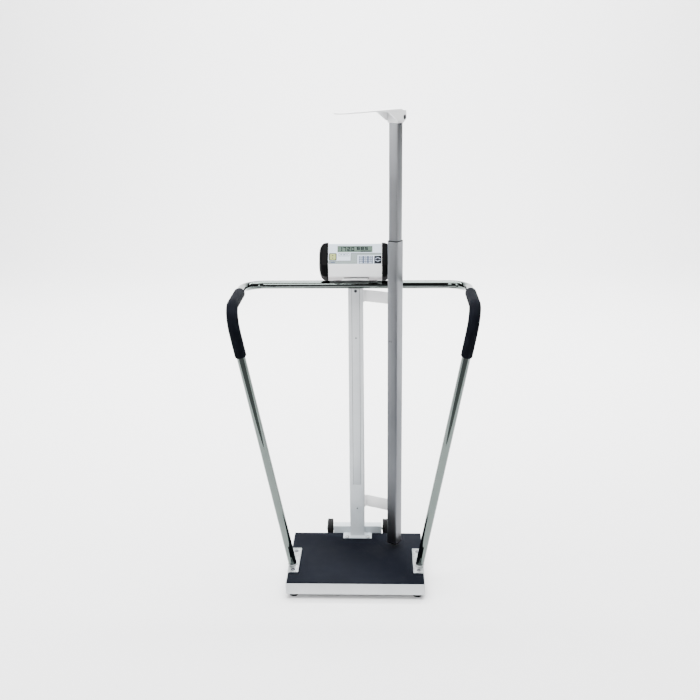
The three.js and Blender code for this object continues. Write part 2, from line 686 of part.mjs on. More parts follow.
function grip(s) {
  const full = RAIL_RADIUS + GRIP_WALL;
  const clear = (RAIL_RADIUS + GAP) / Math.cos(Math.PI / TUBE_SIDES);
  const body = tubeAlong(gripStations(s, GRIP_END), full, TUBE_SIDES);
  const nose = tubeAlong(gripStations(s, 0), full - GRIP_END / 2, TUBE_SIDES);
  const bore = tubeAlong(gripStations(s, -GRIP_END), clear, TUBE_SIDES);
  return cut(join(body, nose), bore);
}

function railFoot(s) {
  const { front, foot } = railCorners(s);
  const x = [s * PLATE_X - PLATE_WIDTH / 2, s * PLATE_X + PLATE_WIDTH / 2];
  const plate = block(x, [PLATE_FRONT, PLATE_REAR], [PLATE_BOTTOM, PLATE_TOP]);
  const lip = block(x, [PLATE_REAR - PLATE_THICKNESS, PLATE_REAR], [PLATE_BOTTOM, PLATE_TOP + PLATE_LIP]);
  const upward = front.clone().sub(foot).normalize();
  const low = { point: foot.clone().addScaledVector(upward, -PLATE_THICKNESS / 2), tangent: upward };
  const high = { point: foot.clone().addScaledVector(upward, SPIGOT_LENGTH), tangent: upward };
  const spigot = tubeAlong([low, high], SPIGOT_RADIUS, SMALL_SIDES);
  const trimmed = cut(spigot, block([-PLATFORM_WIDTH, PLATFORM_WIDTH], [-PLATFORM_DEPTH, PLATFORM_DEPTH],
    [0, PLATE_BOTTOM + 1]));
  return cut(join(plate, lip, trimmed), ...boltHoles(PLATE_BOTTOM - 1, PLATE_TOP + 1));
}

add("handrail_tube", handrailTube(), CHROME);
for (const [side, s] of SIDES) {
  add(`grip_${side}`, grip(s), FOAM);
  add(`rail_foot_${side}`, railFoot(s), ZINC);
}
for (const { name, x, y } of BOLT_PLACES) {
  add(`rail_bolt_${name}`, panScrew(BOLT_RADIUS, BOLT_HEAD, PLATE_TOP, intoFrame(PLATE_TOP), x, y), DARK_STEEL);
}

// ---- height rod ----

function hollowBar(width, depth, wall, corner, z0, z1) {
  const outer = extrudeZ(rectangle(width, depth, corner), z0, z1);
  const bore = rectangle(width - 2 * wall, depth - 2 * wall, corner - wall);
  return cut(outer, extrudeZ(bore, z0 - 1, z1 + 1));
}

const ROD_BORE_WIDTH = ROD_WIDTH - 2 * ROD_WALL;
const ROD_BORE_DEPTH = ROD_DEPTH - 2 * ROD_WALL;

function plug(z0, z1) {
  const shape = rectangle(ROD_BORE_WIDTH - 2 * GAP, ROD_BORE_DEPTH - 2 * GAP, ROD_CORNER - ROD_WALL);
  return extrudeZ(shape, z0, z1);
}

function rodBottomCap() {
  const lid = extrudeZ(rectangle(ROD_WIDTH, ROD_DEPTH, ROD_CORNER), ROD_BOTTOM, ROD_BOTTOM + ROD_CAP);
  return join(lid, plug(ROD_BOTTOM + 1, ROD_BOTTOM + ROD_CAP + ROD_CAP_INSERT));
}

function rodCollar() {
  const base = OUTER_TOP + GAP;
  const lip = extrudeZ(rectangle(ROD_WIDTH, ROD_DEPTH, ROD_CORNER), base, base + COLLAR_LIP);
  const insert = plug(OUTER_TOP - COLLAR_INSERT, base + 1);
  const way = rectangle(INNER_WIDTH + 2 * GAP, INNER_DEPTH + 2 * GAP, INNER_CORNER);
  return cut(join(lip, insert), extrudeZ(way, OUTER_TOP - COLLAR_INSERT - 1, base + COLLAR_LIP + 1));
}

function guideShoe() {
  const top = INNER_TOP - INNER_LENGTH - GAP;
  const fit = 2 * (INNER_WALL + GAP);
  const spigot = rectangle(INNER_WIDTH - fit, INNER_DEPTH - fit, INNER_CORNER - INNER_WALL);
  return join(plug(top - SHOE_HEIGHT, top), extrudeZ(spigot, top - 1, top + SHOE_SPIGOT));
}

add("rod_outer", hollowBar(ROD_WIDTH, ROD_DEPTH, ROD_WALL, ROD_CORNER, OUTER_TOP - ROD_LENGTH, OUTER_TOP),
  ALUMINIUM, rodGroup);
add("rod_bottom_cap", rodBottomCap(), BLACK_PLASTIC, rodGroup);
add("rod_collar", rodCollar(), BLACK_PLASTIC, rodGroup);
add("rod_inner", hollowBar(INNER_WIDTH, INNER_DEPTH, INNER_WALL, INNER_CORNER, INNER_TOP - INNER_LENGTH, INNER_TOP),
  ALUMINIUM, rodGroup);
add("rod_guide_shoe", guideShoe(), BLACK_PLASTIC, rodGroup);

// ---- headpiece ----

const CAP_HALF = INNER_WIDTH / 2 + HEAD_OVERHANG;
const CAP_FRONT = -(INNER_DEPTH / 2 + HEAD_OVERHANG);
const CHEEK_INNER = CAP_HALF + GAP;
const CHEEK_OUTER = CHEEK_INNER + CHEEK_THICKNESS;

// A point of the block's upper rear edge, kept inside the circle that the blade's underside sweeps about the pin.
function sweptEdge(turn) {
  return [HEAD_PIN_Y + HEAD_PIN_DROP * Math.sin(turn), HEAD_PIN_Z + HEAD_PIN_DROP * Math.cos(turn)];
}

function headCap() {
  const rearTurn = Math.asin((HEAD_REAR - HEAD_PIN_Y) / HEAD_PIN_DROP);
  const body = roundedOutline([
    [CAP_FRONT, INNER_TOP + GAP], [INNER_DEPTH / 2 + HEAD_OVERHANG, INNER_TOP + GAP], [HEAD_REAR, HEAD_PIN_Z],
    sweptEdge(rearTurn), sweptEdge(rearTurn / 2), sweptEdge(0), [CAP_FRONT, HEAD_TOP],
  ], 2);
  const fit = 2 * (INNER_WALL + GAP);
  const spigot = rectangle(INNER_WIDTH - fit, INNER_DEPTH - fit, INNER_CORNER - INNER_WALL);
  const whole = join(extrudeX(body, -CAP_HALF, CAP_HALF, 2), extrudeZ(spigot, INNER_TOP - SHOE_SPIGOT, HEAD_PIN_Z - 8));
  return cut(whole, rodX(HEAD_PIN_RADIUS + GAP, -CHEEK_OUTER, CHEEK_OUTER, HEAD_PIN_Y, HEAD_PIN_Z, SMALL_SIDES));
}

function hingePin() {
  const reach = CHEEK_OUTER + GAP;
  const pin = rodX(HEAD_PIN_RADIUS, -reach - 1, reach + 1, HEAD_PIN_Y, HEAD_PIN_Z, SMALL_SIDES);
  const caps = SIDES.map(([, s]) => {
    const near = s * reach;
    const far = s * (reach + HEAD_PIN_CAP_THICKNESS);
    return rodX(HEAD_PIN_CAP, Math.min(near, far), Math.max(near, far), HEAD_PIN_Y, HEAD_PIN_Z, ROUND_SIDES);
  });
  return join(pin, ...caps);
}

// The blade's top is flat to its tip. Two cheeks turn on the pin and run forward under it as gussets.
function headBlade() {
  const under = HEAD_TOP + GAP;
  const top = under + BLADE_ROOT;
  const tipY = CAP_FRONT - BLADE_LENGTH;
  const shoulder = CAP_FRONT + BLADE_SHOULDER;
  const nose = CAP_FRONT - GUSSET_LENGTH;
  const side = polygon([
    [HEAD_REAR, under], [HEAD_REAR, top - BLADE_STEP], [shoulder + BLADE_RAMP, top - BLADE_STEP],
    [shoulder, top], [tipY, top], [tipY, top - BLADE_TIP], [nose, top - BLADE_TIP - 1], [CAP_FRONT, under],
  ]);
  const plan = new THREE.Shape();
  const tipHalf = BLADE_TIP_WIDTH / 2;
  plan.moveTo(-CHEEK_OUTER, HEAD_REAR);
  plan.lineTo(-CHEEK_OUTER, CAP_FRONT);
  plan.lineTo(-tipHalf, tipY + tipHalf);
  plan.absarc(0, tipY + tipHalf, tipHalf, Math.PI, 2 * Math.PI, false);
  plan.lineTo(CHEEK_OUTER, CAP_FRONT);
  plan.lineTo(CHEEK_OUTER, HEAD_REAR);
  plan.closePath();
  const narrowed = extrudeZ(plan, under - HEAD_BLOCK_HEIGHT, top + 1, 8);
  const low = HEAD_PIN_Z - CHEEK_DROP;
  const cheek = roundedOutline([
    [nose, top - BLADE_TIP], [nose, top - BLADE_TIP - 2], [CAP_FRONT - CHEEK_NOSE, low],
    [HEAD_PIN_Y + CHEEK_DROP, low], [HEAD_REAR, under + 2],
  ], 0.8);
  const cheeks = [[-CHEEK_OUTER, -CHEEK_INNER], [CHEEK_INNER, CHEEK_OUTER]];
  const slab = extrudeX(side, -CHEEK_OUTER, CHEEK_OUTER);
  const whole = common(join(slab, ...cheeks.map(([x0, x1]) => extrudeX(cheek, x0, x1, 2))), narrowed);
  const reach = CHEEK_OUTER + 1;
  return cut(whole, rodX(HEAD_PIN_RADIUS + GAP, -reach, reach, HEAD_PIN_Y, HEAD_PIN_Z, SMALL_SIDES));
}

const CAP_SCREW_Z = INNER_TOP - CAP_SCREW_BITE;

function capScrew() {
  const face = INNER_WIDTH / 2;
  const end = face - INNER_WALL - CAP_SCREW_BITE;
  const shank = rodX(CAP_SCREW_RADIUS, end, face + GAP + 1, 0, CAP_SCREW_Z, SMALL_SIDES);
  const head = rodX(CAP_SCREW_HEAD, face + GAP, face + GAP + CAP_SCREW_HEAD / 2, 0, CAP_SCREW_Z, SMALL_SIDES);
  return join(shank, head);
}

function screwBore(piece) {
  const face = INNER_WIDTH / 2;
  const end = face - INNER_WALL - 2 * CAP_SCREW_BITE;
  return cut(piece, rodX(CAP_SCREW_RADIUS + GAP, end, face + 1, 0, CAP_SCREW_Z, SMALL_SIDES));
}

add("head_cap", screwBore(headCap()), WHITE_PLASTIC, rodGroup);
add("head_hinge_pin", hingePin(), DARK_STEEL, rodGroup);
add("head_blade", headBlade(), WHITE_PLASTIC, rodGroup);
add("cap_screw", capScrew(), DARK_STEEL, rodGroup);
const innerMesh = rodGroup.getObjectByName("rod_inner");
innerMesh.geometry = screwBore(innerMesh.geometry);

// ---- arms from the column to the rod ----

function rodArm({ bottom, top }) {
  const width = new THREE.Vector2(Math.cos(ROD_TURN), Math.sin(ROD_TURN));
  const rear = new THREE.Vector2(-width.y, width.x);
  const back = ROD_DEPTH / 2 + GAP + ARM_THICKNESS / 2;
  const axis = new THREE.Vector2(ROD_X, ROD_Y);
  const place = (along) => axis.clone().addScaledVector(rear, back).addScaledVector(width, along).toArray();
  const columnSide = COLUMN_WIDTH / 2 + GAP + ARM_THICKNESS / 2;
  const centre = [
    [columnSide, COLUMN_Y - ARM_FLANGE + 2],
    [columnSide, COLUMN_Y],
    place(-ROD_WIDTH / 2 - 3),
    place(ROD_WIDTH / 2 - ROD_CORNER),
  ];
  return extrudeZ(strap(centre, ARM_THICKNESS), bottom, top);
}

add("rod_arm_upper", rodArm(ARM_UPPER), WHITE_PAINT);
add("rod_arm_lower", rodArm(ARM_LOWER), WHITE_PAINT);

// ---- wheels ----

function axleBracket() {
  const half = WHEEL_X - WHEEL_WIDTH / 2 - BRACKET_GAP;
  const face = PLATFORM_DEPTH / 2 + GAP;
  const back = block([-half, half], [face, face + BRACKET_THICKNESS], [BRACKET_BOTTOM, BRACKET_TOP]);
  const flangeZ = [BRACKET_TOP - BRACKET_THICKNESS, BRACKET_TOP];
  const flange = block([-half, half], [face, face + BRACKET_REACH], flangeZ);
  const ears = SIDES.map(([, s]) => {
    const x = s > 0 ? [half - BRACKET_THICKNESS, half] : [-half, -half + BRACKET_THICKNESS];
    const outline = roundedOutline([
      [face, BRACKET_BOTTOM + EAR_MARGIN], [WHEEL_Y + EAR_MARGIN, WHEEL_Z - EAR_HALF_HEIGHT],
      [WHEEL_Y + EAR_MARGIN, WHEEL_Z + EAR_HALF_HEIGHT],
      [face + BRACKET_REACH, BRACKET_TOP], [face, BRACKET_TOP],
    ], 2);
    return extrudeX(outline, ...x, 2);
  });
  return cut(join(back, flange, ...ears), rodX(AXLE_RADIUS + GAP, -half - 1, half + 1, WHEEL_Y, WHEEL_Z));
}

function wheelAxle() {
  const reach = WHEEL_X + WHEEL_WIDTH / 2 + GAP;
  const shaft = rodX(AXLE_RADIUS, -reach - 1, reach + 1, WHEEL_Y, WHEEL_Z, SMALL_SIDES);
  const heads = [[-reach - AXLE_HEAD, -reach], [reach, reach + AXLE_HEAD]];
  const headRadius = AXLE_RADIUS + AXLE_HEAD;
  return join(shaft, ...heads.map(([x0, x1]) => rodX(headRadius, x0, x1, WHEEL_Y, WHEEL_Z, SMALL_SIDES)));
}

function wheel(s) {
  const half = WHEEL_WIDTH / 2;
  const bore = AXLE_RADIUS + GAP;
  const dish = half - WHEEL_DISH;
  const rim = half - 1;
  const inner = WHEEL_RADIUS - TYRE_DEPTH;
  const profile = [
    [bore, -half], [HUB_RADIUS, -half], [HUB_RADIUS + 2, -dish], [inner, -dish], [inner + 2, -rim],
    [WHEEL_RADIUS - 2, -rim], [WHEEL_RADIUS, -dish], [WHEEL_RADIUS, dish],
    [WHEEL_RADIUS - 2, rim], [inner + 2, rim], [inner, dish], [HUB_RADIUS + 2, dish],
    [HUB_RADIUS, half], [bore, half], [bore, -half],
  ];
  const body = toGeometry(toSolid(turned(profile)));
  return body.rotateY(Math.PI / 2).translate(s * WHEEL_X, WHEEL_Y, WHEEL_Z);
}

add("axle_bracket", axleBracket(), WHITE_PAINT);
add("wheel_axle", wheelAxle(), ZINC);
for (const [side, s] of SIDES) add(`wheel_${side}`, wheel(s), BLACK_RUBBER);

// ---- indicator ----

const TILT_Y = HOUSING_REAR + TILT_OFFSET;
const TILT_Z = HOUSING_BOTTOM + TILT_RISE;
const HOUSING_FRONT = HOUSING_REAR - HOUSING_DEPTH;
const FACE_FOOT = [HOUSING_FRONT, HOUSING_BOTTOM + HOUSING_FACE_FOOT];
const FACE_HEAD = [HOUSING_REAR - HOUSING_PEAK_REACH, HOUSING_BOTTOM + HOUSING_PEAK];
const HOUSING_OUTLINE = [
  [HOUSING_REAR, HOUSING_BOTTOM + HOUSING_BACK_HEIGHT], FACE_HEAD, FACE_FOOT,
  [HOUSING_FRONT, HOUSING_BOTTOM + HOUSING_CHIN], [HOUSING_REAR - HOUSING_UNDERSIDE, HOUSING_BOTTOM],
  [HOUSING_REAR, HOUSING_BOTTOM],
];

// The outline moved inwards by the wall, every edge by the same amount.
function insetOutline(corners, wall) {
  const points = corners.map(([y, z]) => new THREE.Vector2(y, z));
  return points.map((corner, i) => {
    const before = points[(i + points.length - 1) % points.length];
    const after = points[(i + 1) % points.length];
    const into = corner.clone().sub(before).normalize();
    const away = after.clone().sub(corner).normalize();
    const mitre = new THREE.Vector2(-into.y - away.y, into.x + away.x).normalize();
    const reach = wall / mitre.dot(new THREE.Vector2(-into.y, into.x));
    return corner.clone().addScaledVector(mitre, reach).toArray();
  });
}

const HOUSING_INSIDE = insetOutline(HOUSING_OUTLINE, HOUSING_WALL);

// A slab laid on the sloping front: x across, along from the foot of the slope, out from its surface.
function onFace([x0, x1], [along0, along1], [out0, out1]) {
  const slope = new THREE.Vector2(FACE_HEAD[0] - FACE_FOOT[0], FACE_HEAD[1] - FACE_FOOT[1]).normalize();
  const out = new THREE.Vector2(-slope.y, slope.x);
  const foot = new THREE.Vector2(...FACE_FOOT);
  const at = (along, off) => foot.clone().addScaledVector(slope, along).addScaledVector(out, off);
  return extrudeX(new THREE.Shape([at(along0, out1), at(along0, out0), at(along1, out0), at(along1, out1)]), x0, x1);
}

const FACE_LENGTH = Math.hypot(FACE_HEAD[0] - FACE_FOOT[0], FACE_HEAD[1] - FACE_FOOT[1]);
const LCD_TOP = FACE_LENGTH - LCD_MARGIN;
const LCD_SPAN = [LCD_TOP - LCD_HEIGHT, LCD_TOP];

function lcdOpening(clear) {
  const half = LCD_WIDTH / 2 + clear;
  return onFace([-half, half], [LCD_SPAN[0] - clear, LCD_SPAN[1] + clear], [-HOUSING_WALL * 3, HOUSING_WALL * 2]);
}

function indicatorHousing() {
  const half = HOUSING_WIDTH / 2;
  const outer = extrudeX(roundedOutline(HOUSING_OUTLINE, HOUSING_CORNER), -half, half);
  const inside = extrudeX(roundedOutline(HOUSING_INSIDE, HOUSING_CORNER - HOUSING_WALL), -half - 1, half + 1);
  const shell = cut(outer, inside, lcdOpening(GAP));
  const lugHalf = COLUMN_WIDTH / 2 - YOKE_THICKNESS;
  const lug = join(
    rodX(TILT_LUG, -lugHalf, lugHalf, TILT_Y, TILT_Z),
    block([-lugHalf, lugHalf], [HOUSING_REAR - 1, TILT_Y], [TILT_Z - TILT_LUG, TILT_Z + TILT_LUG]));
  const lipY = HOUSING_REAR - LIP_REACH;
  const lipZ = HOUSING_BOTTOM + LIP_DROP;
  const lip = block([-LIP_HALF_WIDTH, LIP_HALF_WIDTH], [lipY, lipY + LIP_DEPTH], [lipZ, lipZ + LIP_THICKNESS]);
  const pinHole = rodX(TILT_PIN_RADIUS + GAP, -half, half, TILT_Y, TILT_Z, SMALL_SIDES);
  return cut(join(shell, lug, lip), pinHole);
}

// The end cap follows the housing's outline and closes in an elliptical dome.
function indicatorCap(s) {
  const settings = { depth: CAP_LENGTH, steps: CAP_STEPS, bevelEnabled: false, curveSegments: CORNER_STEPS };
  const cap = new THREE.ExtrudeGeometry(roundedOutline(HOUSING_OUTLINE, HOUSING_CORNER), settings);
  const middleY = HOUSING_REAR - CAP_MIDDLE_REACH;
  const middleZ = HOUSING_BOTTOM + CAP_MIDDLE_RISE;
  const place = cap.attributes.position;
  for (let i = 0; i < place.count; i += 1) {
    const along = Math.sin((Math.PI / 2) * (place.getZ(i) / CAP_LENGTH));
    const size = CAP_SIZE - CAP_CLOSE * (1 - Math.sqrt(1 - along ** CAP_SQUARENESS));
    place.setX(i, middleY + (place.getX(i) - middleY) * size);
    place.setY(i, middleZ + (place.getY(i) - middleZ) * size);
    place.setZ(i, CAP_LENGTH * along);
  }
  const dome = toSolid(cap.applyMatrix4(ALONG_X));
  const sided = s > 0 ? dome : dome.mirror([1, 0, 0]);
  return toGeometry(sided).translate(s * (HOUSING_WIDTH / 2 + GAP), 0, 0);
}

function keypadPanel() {
  const half = HOUSING_WIDTH / 2 - 1;
  const plate = onFace([-half, half], [4, FACE_LENGTH - 3], [GAP, GAP + PANEL_THICKNESS]);
  return cut(plate, lcdOpening(GAP));
}

function lcdDisplay() {
  const half = LCD_WIDTH / 2;
  return onFace([-half, half], LCD_SPAN, [-HOUSING_WALL - 2, GAP + PANEL_THICKNESS / 2]);
}

function mainBoard() {
  const half = HOUSING_WIDTH / 2 - LCD_MARGIN - 2;
  const ends = [LCD_MARGIN, FACE_LENGTH - LCD_MARGIN - 2];
  return onFace([-half, half], ends, [-BOARD_DEPTH, -BOARD_DEPTH + BOARD_THICKNESS]);
}

function batteryPack() {
  const rear = HOUSING_REAR - HOUSING_WALL - 2;
  const bottom = HOUSING_BOTTOM + HOUSING_WALL + GAP;
  const x = [-BATTERY_HALF_WIDTH, BATTERY_HALF_WIDTH];
  return block(x, [rear - BATTERY_DEPTH, rear], [bottom, bottom + BATTERY_HEIGHT]);
}

function rubberFoot(s) {
  const profile = [
    [0, 0], [RUBBER_RADIUS * 0.6, 0], [RUBBER_RADIUS * 0.87, RUBBER_HEIGHT * 0.25],
    [RUBBER_RADIUS, RUBBER_HEIGHT * 0.7], [RUBBER_RADIUS, RUBBER_HEIGHT], [0, RUBBER_HEIGHT],
  ];
  const foot = toGeometry(toSolid(turned(profile)));
  const y = HOUSING_REAR - HOUSING_UNDERSIDE + RUBBER_RADIUS;
  return foot.translate(s * RUBBER_X, y, HOUSING_BOTTOM - GAP - RUBBER_HEIGHT);
}

// The yoke is bolted behind the column and carries the indicator on two ears.
function indicatorYoke() {
  const half = COLUMN_WIDTH / 2;
  const face = COLUMN_REAR + GAP;
  const plate = block([-half, half], [face, face + YOKE_THICKNESS], [YOKE_TOP - YOKE_DROP, YOKE_TOP]);
  const ears = SIDES.map(([, s]) => {
    const x = s > 0 ? [half - YOKE_THICKNESS + GAP, half] : [-half, -half + YOKE_THICKNESS - GAP];
    const web = block(x, [face, TILT_Y + YOKE_LUG], [YOKE_TOP - YOKE_DROP / 3, TILT_Z]);
    return join(web, rodX(YOKE_LUG, ...x, TILT_Y, TILT_Z));
  });
  const pinHole = rodX(TILT_PIN_RADIUS + GAP, -half - 1, half + 1, TILT_Y, TILT_Z, SMALL_SIDES);
  return cut(join(plate, ...ears), pinHole);
}

function tiltPin() {
  const reach = COLUMN_WIDTH / 2 + GAP;
  const pin = rodX(TILT_PIN_RADIUS, -reach - 1, reach + 1, TILT_Y, TILT_Z, SMALL_SIDES);
  const heads = [[-reach - PIN_HEAD_THICKNESS, -reach], [reach, reach + PIN_HEAD_THICKNESS]];
  const headRadius = TILT_PIN_RADIUS + PIN_HEAD;
  return join(pin, ...heads.map(([x0, x1]) => rodX(headRadius, x0, x1, TILT_Y, TILT_Z, SMALL_SIDES)));
}

add("indicator_yoke", indicatorYoke(), WHITE_PAINT);
add("tilt_pin", tiltPin(), ZINC);
add("indicator_housing", indicatorHousing(), WHITE_PLASTIC);
add("keypad_panel", keypadPanel(), PANEL_PRINT);
add("lcd_display", lcdDisplay(), DISPLAY);
add("main_board", mainBoard(), BOARD);
add("battery_pack", batteryPack(), BLACK_PLASTIC);
for (const [side, s] of SIDES) {
  add(`indicator_cap_${side}`, indicatorCap(s), BLACK_PLASTIC);
  add(`indicator_foot_${side}`, rubberFoot(s), BLACK_RUBBER);
}

// The whole object is centred front to back over the origin.
const extent = new THREE.Box3().setFromObject(assembly, true);
assembly.position.y = -(extent.min.y + extent.max.y) / 2;
const group = new THREE.Group();
group.add(assembly);

export default group;
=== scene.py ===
"""Clinic weighing scale with handrails and a height rod: the finished look of every piece."""
import math

import bmesh
import bpy
from mathutils import Matrix, Vector


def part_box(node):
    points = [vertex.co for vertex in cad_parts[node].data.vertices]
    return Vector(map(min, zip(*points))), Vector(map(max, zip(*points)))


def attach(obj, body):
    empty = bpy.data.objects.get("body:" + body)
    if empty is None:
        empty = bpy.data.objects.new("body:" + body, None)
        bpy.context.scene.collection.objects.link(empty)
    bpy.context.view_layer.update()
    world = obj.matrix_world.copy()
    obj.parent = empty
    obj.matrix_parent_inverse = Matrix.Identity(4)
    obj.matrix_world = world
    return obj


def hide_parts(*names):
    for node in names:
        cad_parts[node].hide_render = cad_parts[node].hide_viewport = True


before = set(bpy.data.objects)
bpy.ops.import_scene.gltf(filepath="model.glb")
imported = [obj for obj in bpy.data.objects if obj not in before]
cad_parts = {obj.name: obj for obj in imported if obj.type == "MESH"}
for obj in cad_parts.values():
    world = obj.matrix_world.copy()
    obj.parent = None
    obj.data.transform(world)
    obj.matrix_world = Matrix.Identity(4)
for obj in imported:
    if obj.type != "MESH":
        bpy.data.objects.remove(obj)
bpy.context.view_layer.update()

scene = bpy.context.scene


# ---- Camera ----
# A standing person's view from in front of the platform, looking down a little, through a 50 mm lens.
EYE = Vector((0.08894, -3.0584, 1.7142))
LOOK_DOWN = math.radians(16.627)
LOOK_LEFT = math.radians(1.973)
LEAN = math.radians(0.562)
LENS_MM = 49.97

camera_data = bpy.data.cameras.new("camera")
camera_data.lens = LENS_MM
camera_data.sensor_width = 36
camera = bpy.data.objects.new("camera", camera_data)
heading = Matrix.Rotation(LOOK_LEFT, 4, "Z") @ Matrix.Rotation(math.pi / 2 - LOOK_DOWN, 4, "X")
camera.matrix_world = Matrix.Translation(EYE) @ heading @ Matrix.Rotation(-LEAN, 4, "Z")
scene.collection.objects.link(camera)
scene.camera = camera


# ---- Floor, backdrop and lights ----
# White paper curves up from the floor into a wall behind. A grey studio floor goes on in front of it, into a
# dim room that the bright metal reflects. Large soft lamps stand above, in front and at both sides.
SWEEP_HALF = 9.0
SWEEP_BACK = 5.0
SWEEP_CURVE = 2.0
SWEEP_WALL = 6.0
PAPER_FRONT = -0.95


def set_inputs(node, **values):
    """Sets a node's inputs by name; an underscore stands for a space."""
    for name, value in values.items():
        node.inputs[name.replace("_", " ")].default_value = value
    return node


def add_node(tree, kind, **values):
    return set_inputs(tree.nodes.new("ShaderNode" + kind), **values)


def connect(tree, *links):
    """Joins sockets; each link is a node and its output, then the next node and its input."""
    for source, output, target, name in links:
        tree.links.new(source.outputs[output], target.inputs[name])


def studio_sheet(name, bm, color):
    """A dull sheet of the studio, which isn't part of the scale."""
    bmesh.ops.recalc_face_normals(bm, faces=bm.faces)
    mesh = bpy.data.meshes.new(name)
    bm.to_mesh(mesh)
    bm.free()
    material = bpy.data.materials.new(name)
    material.use_nodes = True
    set_inputs(material.node_tree.nodes["Principled BSDF"], Base_Color=(*color, 1), Roughness=0.9)
    mesh.materials.append(material)
    mesh.shade_smooth()
    sheet = bpy.data.objects.new(name, mesh)
    scene.collection.objects.link(sheet)


def soft_lamp(name, place, aim, size, watts):
    lamp = bpy.data.lights.new(name, "AREA")
    lamp.shape = "RECTANGLE"
    lamp.size, lamp.size_y = size
    lamp.energy = watts
    obj = bpy.data.objects.new(name, lamp)
    facing = (Vector(aim) - Vector(place)).to_track_quat("-Z", "Y")
    obj.matrix_world = Matrix.Translation(place) @ facing.to_matrix().to_4x4()
    scene.collection.objects.link(obj)


bm = bmesh.new()
near_edge = [bm.verts.new((x, PAPER_FRONT, 0)) for x in (-SWEEP_HALF, SWEEP_HALF)]
far_edge = [bm.verts.new((x, SWEEP_BACK, 0)) for x in (SWEEP_HALF, -SWEEP_HALF)]
bm.faces.new(near_edge + far_edge)
bmesh.ops.spin(bm, geom=[bm.edges.get(far_edge), *far_edge], cent=(0, SWEEP_BACK, SWEEP_CURVE),
               axis=(1, 0, 0), angle=math.pi / 2, steps=24)
top_edge = [e for e in bm.edges if all(v.co.z > SWEEP_CURVE - 1e-4 for v in e.verts)]
raised = bmesh.ops.extrude_edge_only(bm, edges=top_edge)["geom"]
wall_top = [v for v in raised if isinstance(v, bmesh.types.BMVert)]
bmesh.ops.translate(bm, vec=(0, 0, SWEEP_WALL), verts=wall_top)
studio_sheet("paper_sweep", bm, (0.9, 0.9, 0.905))
bm = bmesh.new()
bm.faces.new([bm.verts.new((x, y, 0)) for x, y in ((-SWEEP_HALF, -SWEEP_HALF), (SWEEP_HALF, -SWEEP_HALF),
                                                   (SWEEP_HALF, PAPER_FRONT), (-SWEEP_HALF, PAPER_FRONT))])
studio_sheet("studio_floor", bm, (0.13, 0.13, 0.132))

soft_lamp("overhead_lamp", (0, -0.2, 4.4), (0, 0, 0.4), (4.5, 3.2), 560)
soft_lamp("left_lamp", (-3.6, -1.6, 2.6), (0, 0, 0.9), (1.2, 2.8), 110)
soft_lamp("corner_lamp", (1.8, -3.4, 1.05), (0.13, 0, 0.9), (0.6, 1.9), 40)
soft_lamp("front_lamp", (-1.0, -4.2, 2.9), (0, 0, 0.8), (1.6, 0.8), 110)
soft_lamp("backdrop_lamp", (0, 2.2, 4.8), (0, 6.0, 1.0), (7.0, 1.2), 1500)

world = bpy.data.worlds.new("studio")
world.use_nodes = True
scene.world = world
sky = world.node_tree
direction = add_node(sky, "TexCoord")
parts = add_node(sky, "SeparateXYZ")
height = add_node(sky, "MapRange", From_Min=-1)
bands = add_node(sky, "ValToRGB")
glow = set_inputs(sky.nodes["Background"], Strength=0.7)
connect(sky, (direction, "Generated", parts, "Vector"), (parts, "Z", height, "Value"),
        (height, "Result", bands, "Fac"), (bands, "Color", glow, "Color"))
stops = [(0.0, 0.5), (0.4, 0.4), (0.47, 0.02), (0.62, 0.03), (0.8, 0.3), (1.0, 0.5)]
while len(bands.color_ramp.elements) < len(stops):
    bands.color_ramp.elements.new(0.5)
for element, (place, grey) in zip(bands.color_ramp.elements, stops):
    element.position = place
    element.color = (grey, grey, grey * 1.02, 1)


# ---- Platform cover ----
# The weighing platform's pan: 2 mm steel sheet folded down on four sides, welded at the corners and powder
# coated. It is a cube without its bottom, bevelled at the folds and given its thickness inwards.
COVER_WALL = 0.002
COVER_CORNER = 0.005
COVER_FOLD = 0.0018


def box_in(bm, low, high):
    """A cube stretched between two corners; gives back its vertices."""
    low, high = Vector(low), Vector(high)
    verts = bmesh.ops.create_cube(bm, size=1)["verts"]
    bmesh.ops.scale(bm, vec=high - low, verts=verts)
    bmesh.ops.translate(bm, vec=(low + high) / 2, verts=verts)
    return verts


def round_edges(bm, edges, radius, segments=3):
    bmesh.ops.bevel(bm, geom=list(edges), offset=radius, offset_type="OFFSET", affect="EDGES",
                    segments=segments, profile=0.5, material=-1, clamp_overlap=True)


def upright(edge):
    """True for an edge that runs straight up."""
    run = edge.verts[0].co - edge.verts[1].co
    return abs(run.x) + abs(run.y) < 1e-6


def sharp_edges(bm, angle=50):
    return [e for e in bm.edges if len(e.link_faces) == 2 and e.calc_face_angle(0) > math.radians(angle)]


def edges_of(verts):
    return list({e for v in verts for e in v.link_edges})


def piece(name, bm, material, body, slot, *nodes, crease=35, recalc=True):
    """Turns a bmesh into an object at the origin that rides on its body and stands for its nodes."""
    if recalc:
        bmesh.ops.recalc_face_normals(bm, faces=bm.faces)
    mesh = bpy.data.meshes.new(name)
    bm.to_mesh(mesh)
    bm.free()
    mesh.materials.append(material)
    mesh.shade_smooth()
    mesh.set_sharp_from_angle(angle=math.radians(crease))
    obj = bpy.data.objects.new(name, mesh)
    scene.collection.objects.link(obj)
    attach(obj, body)
    if nodes:
        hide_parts(*nodes)
    return obj


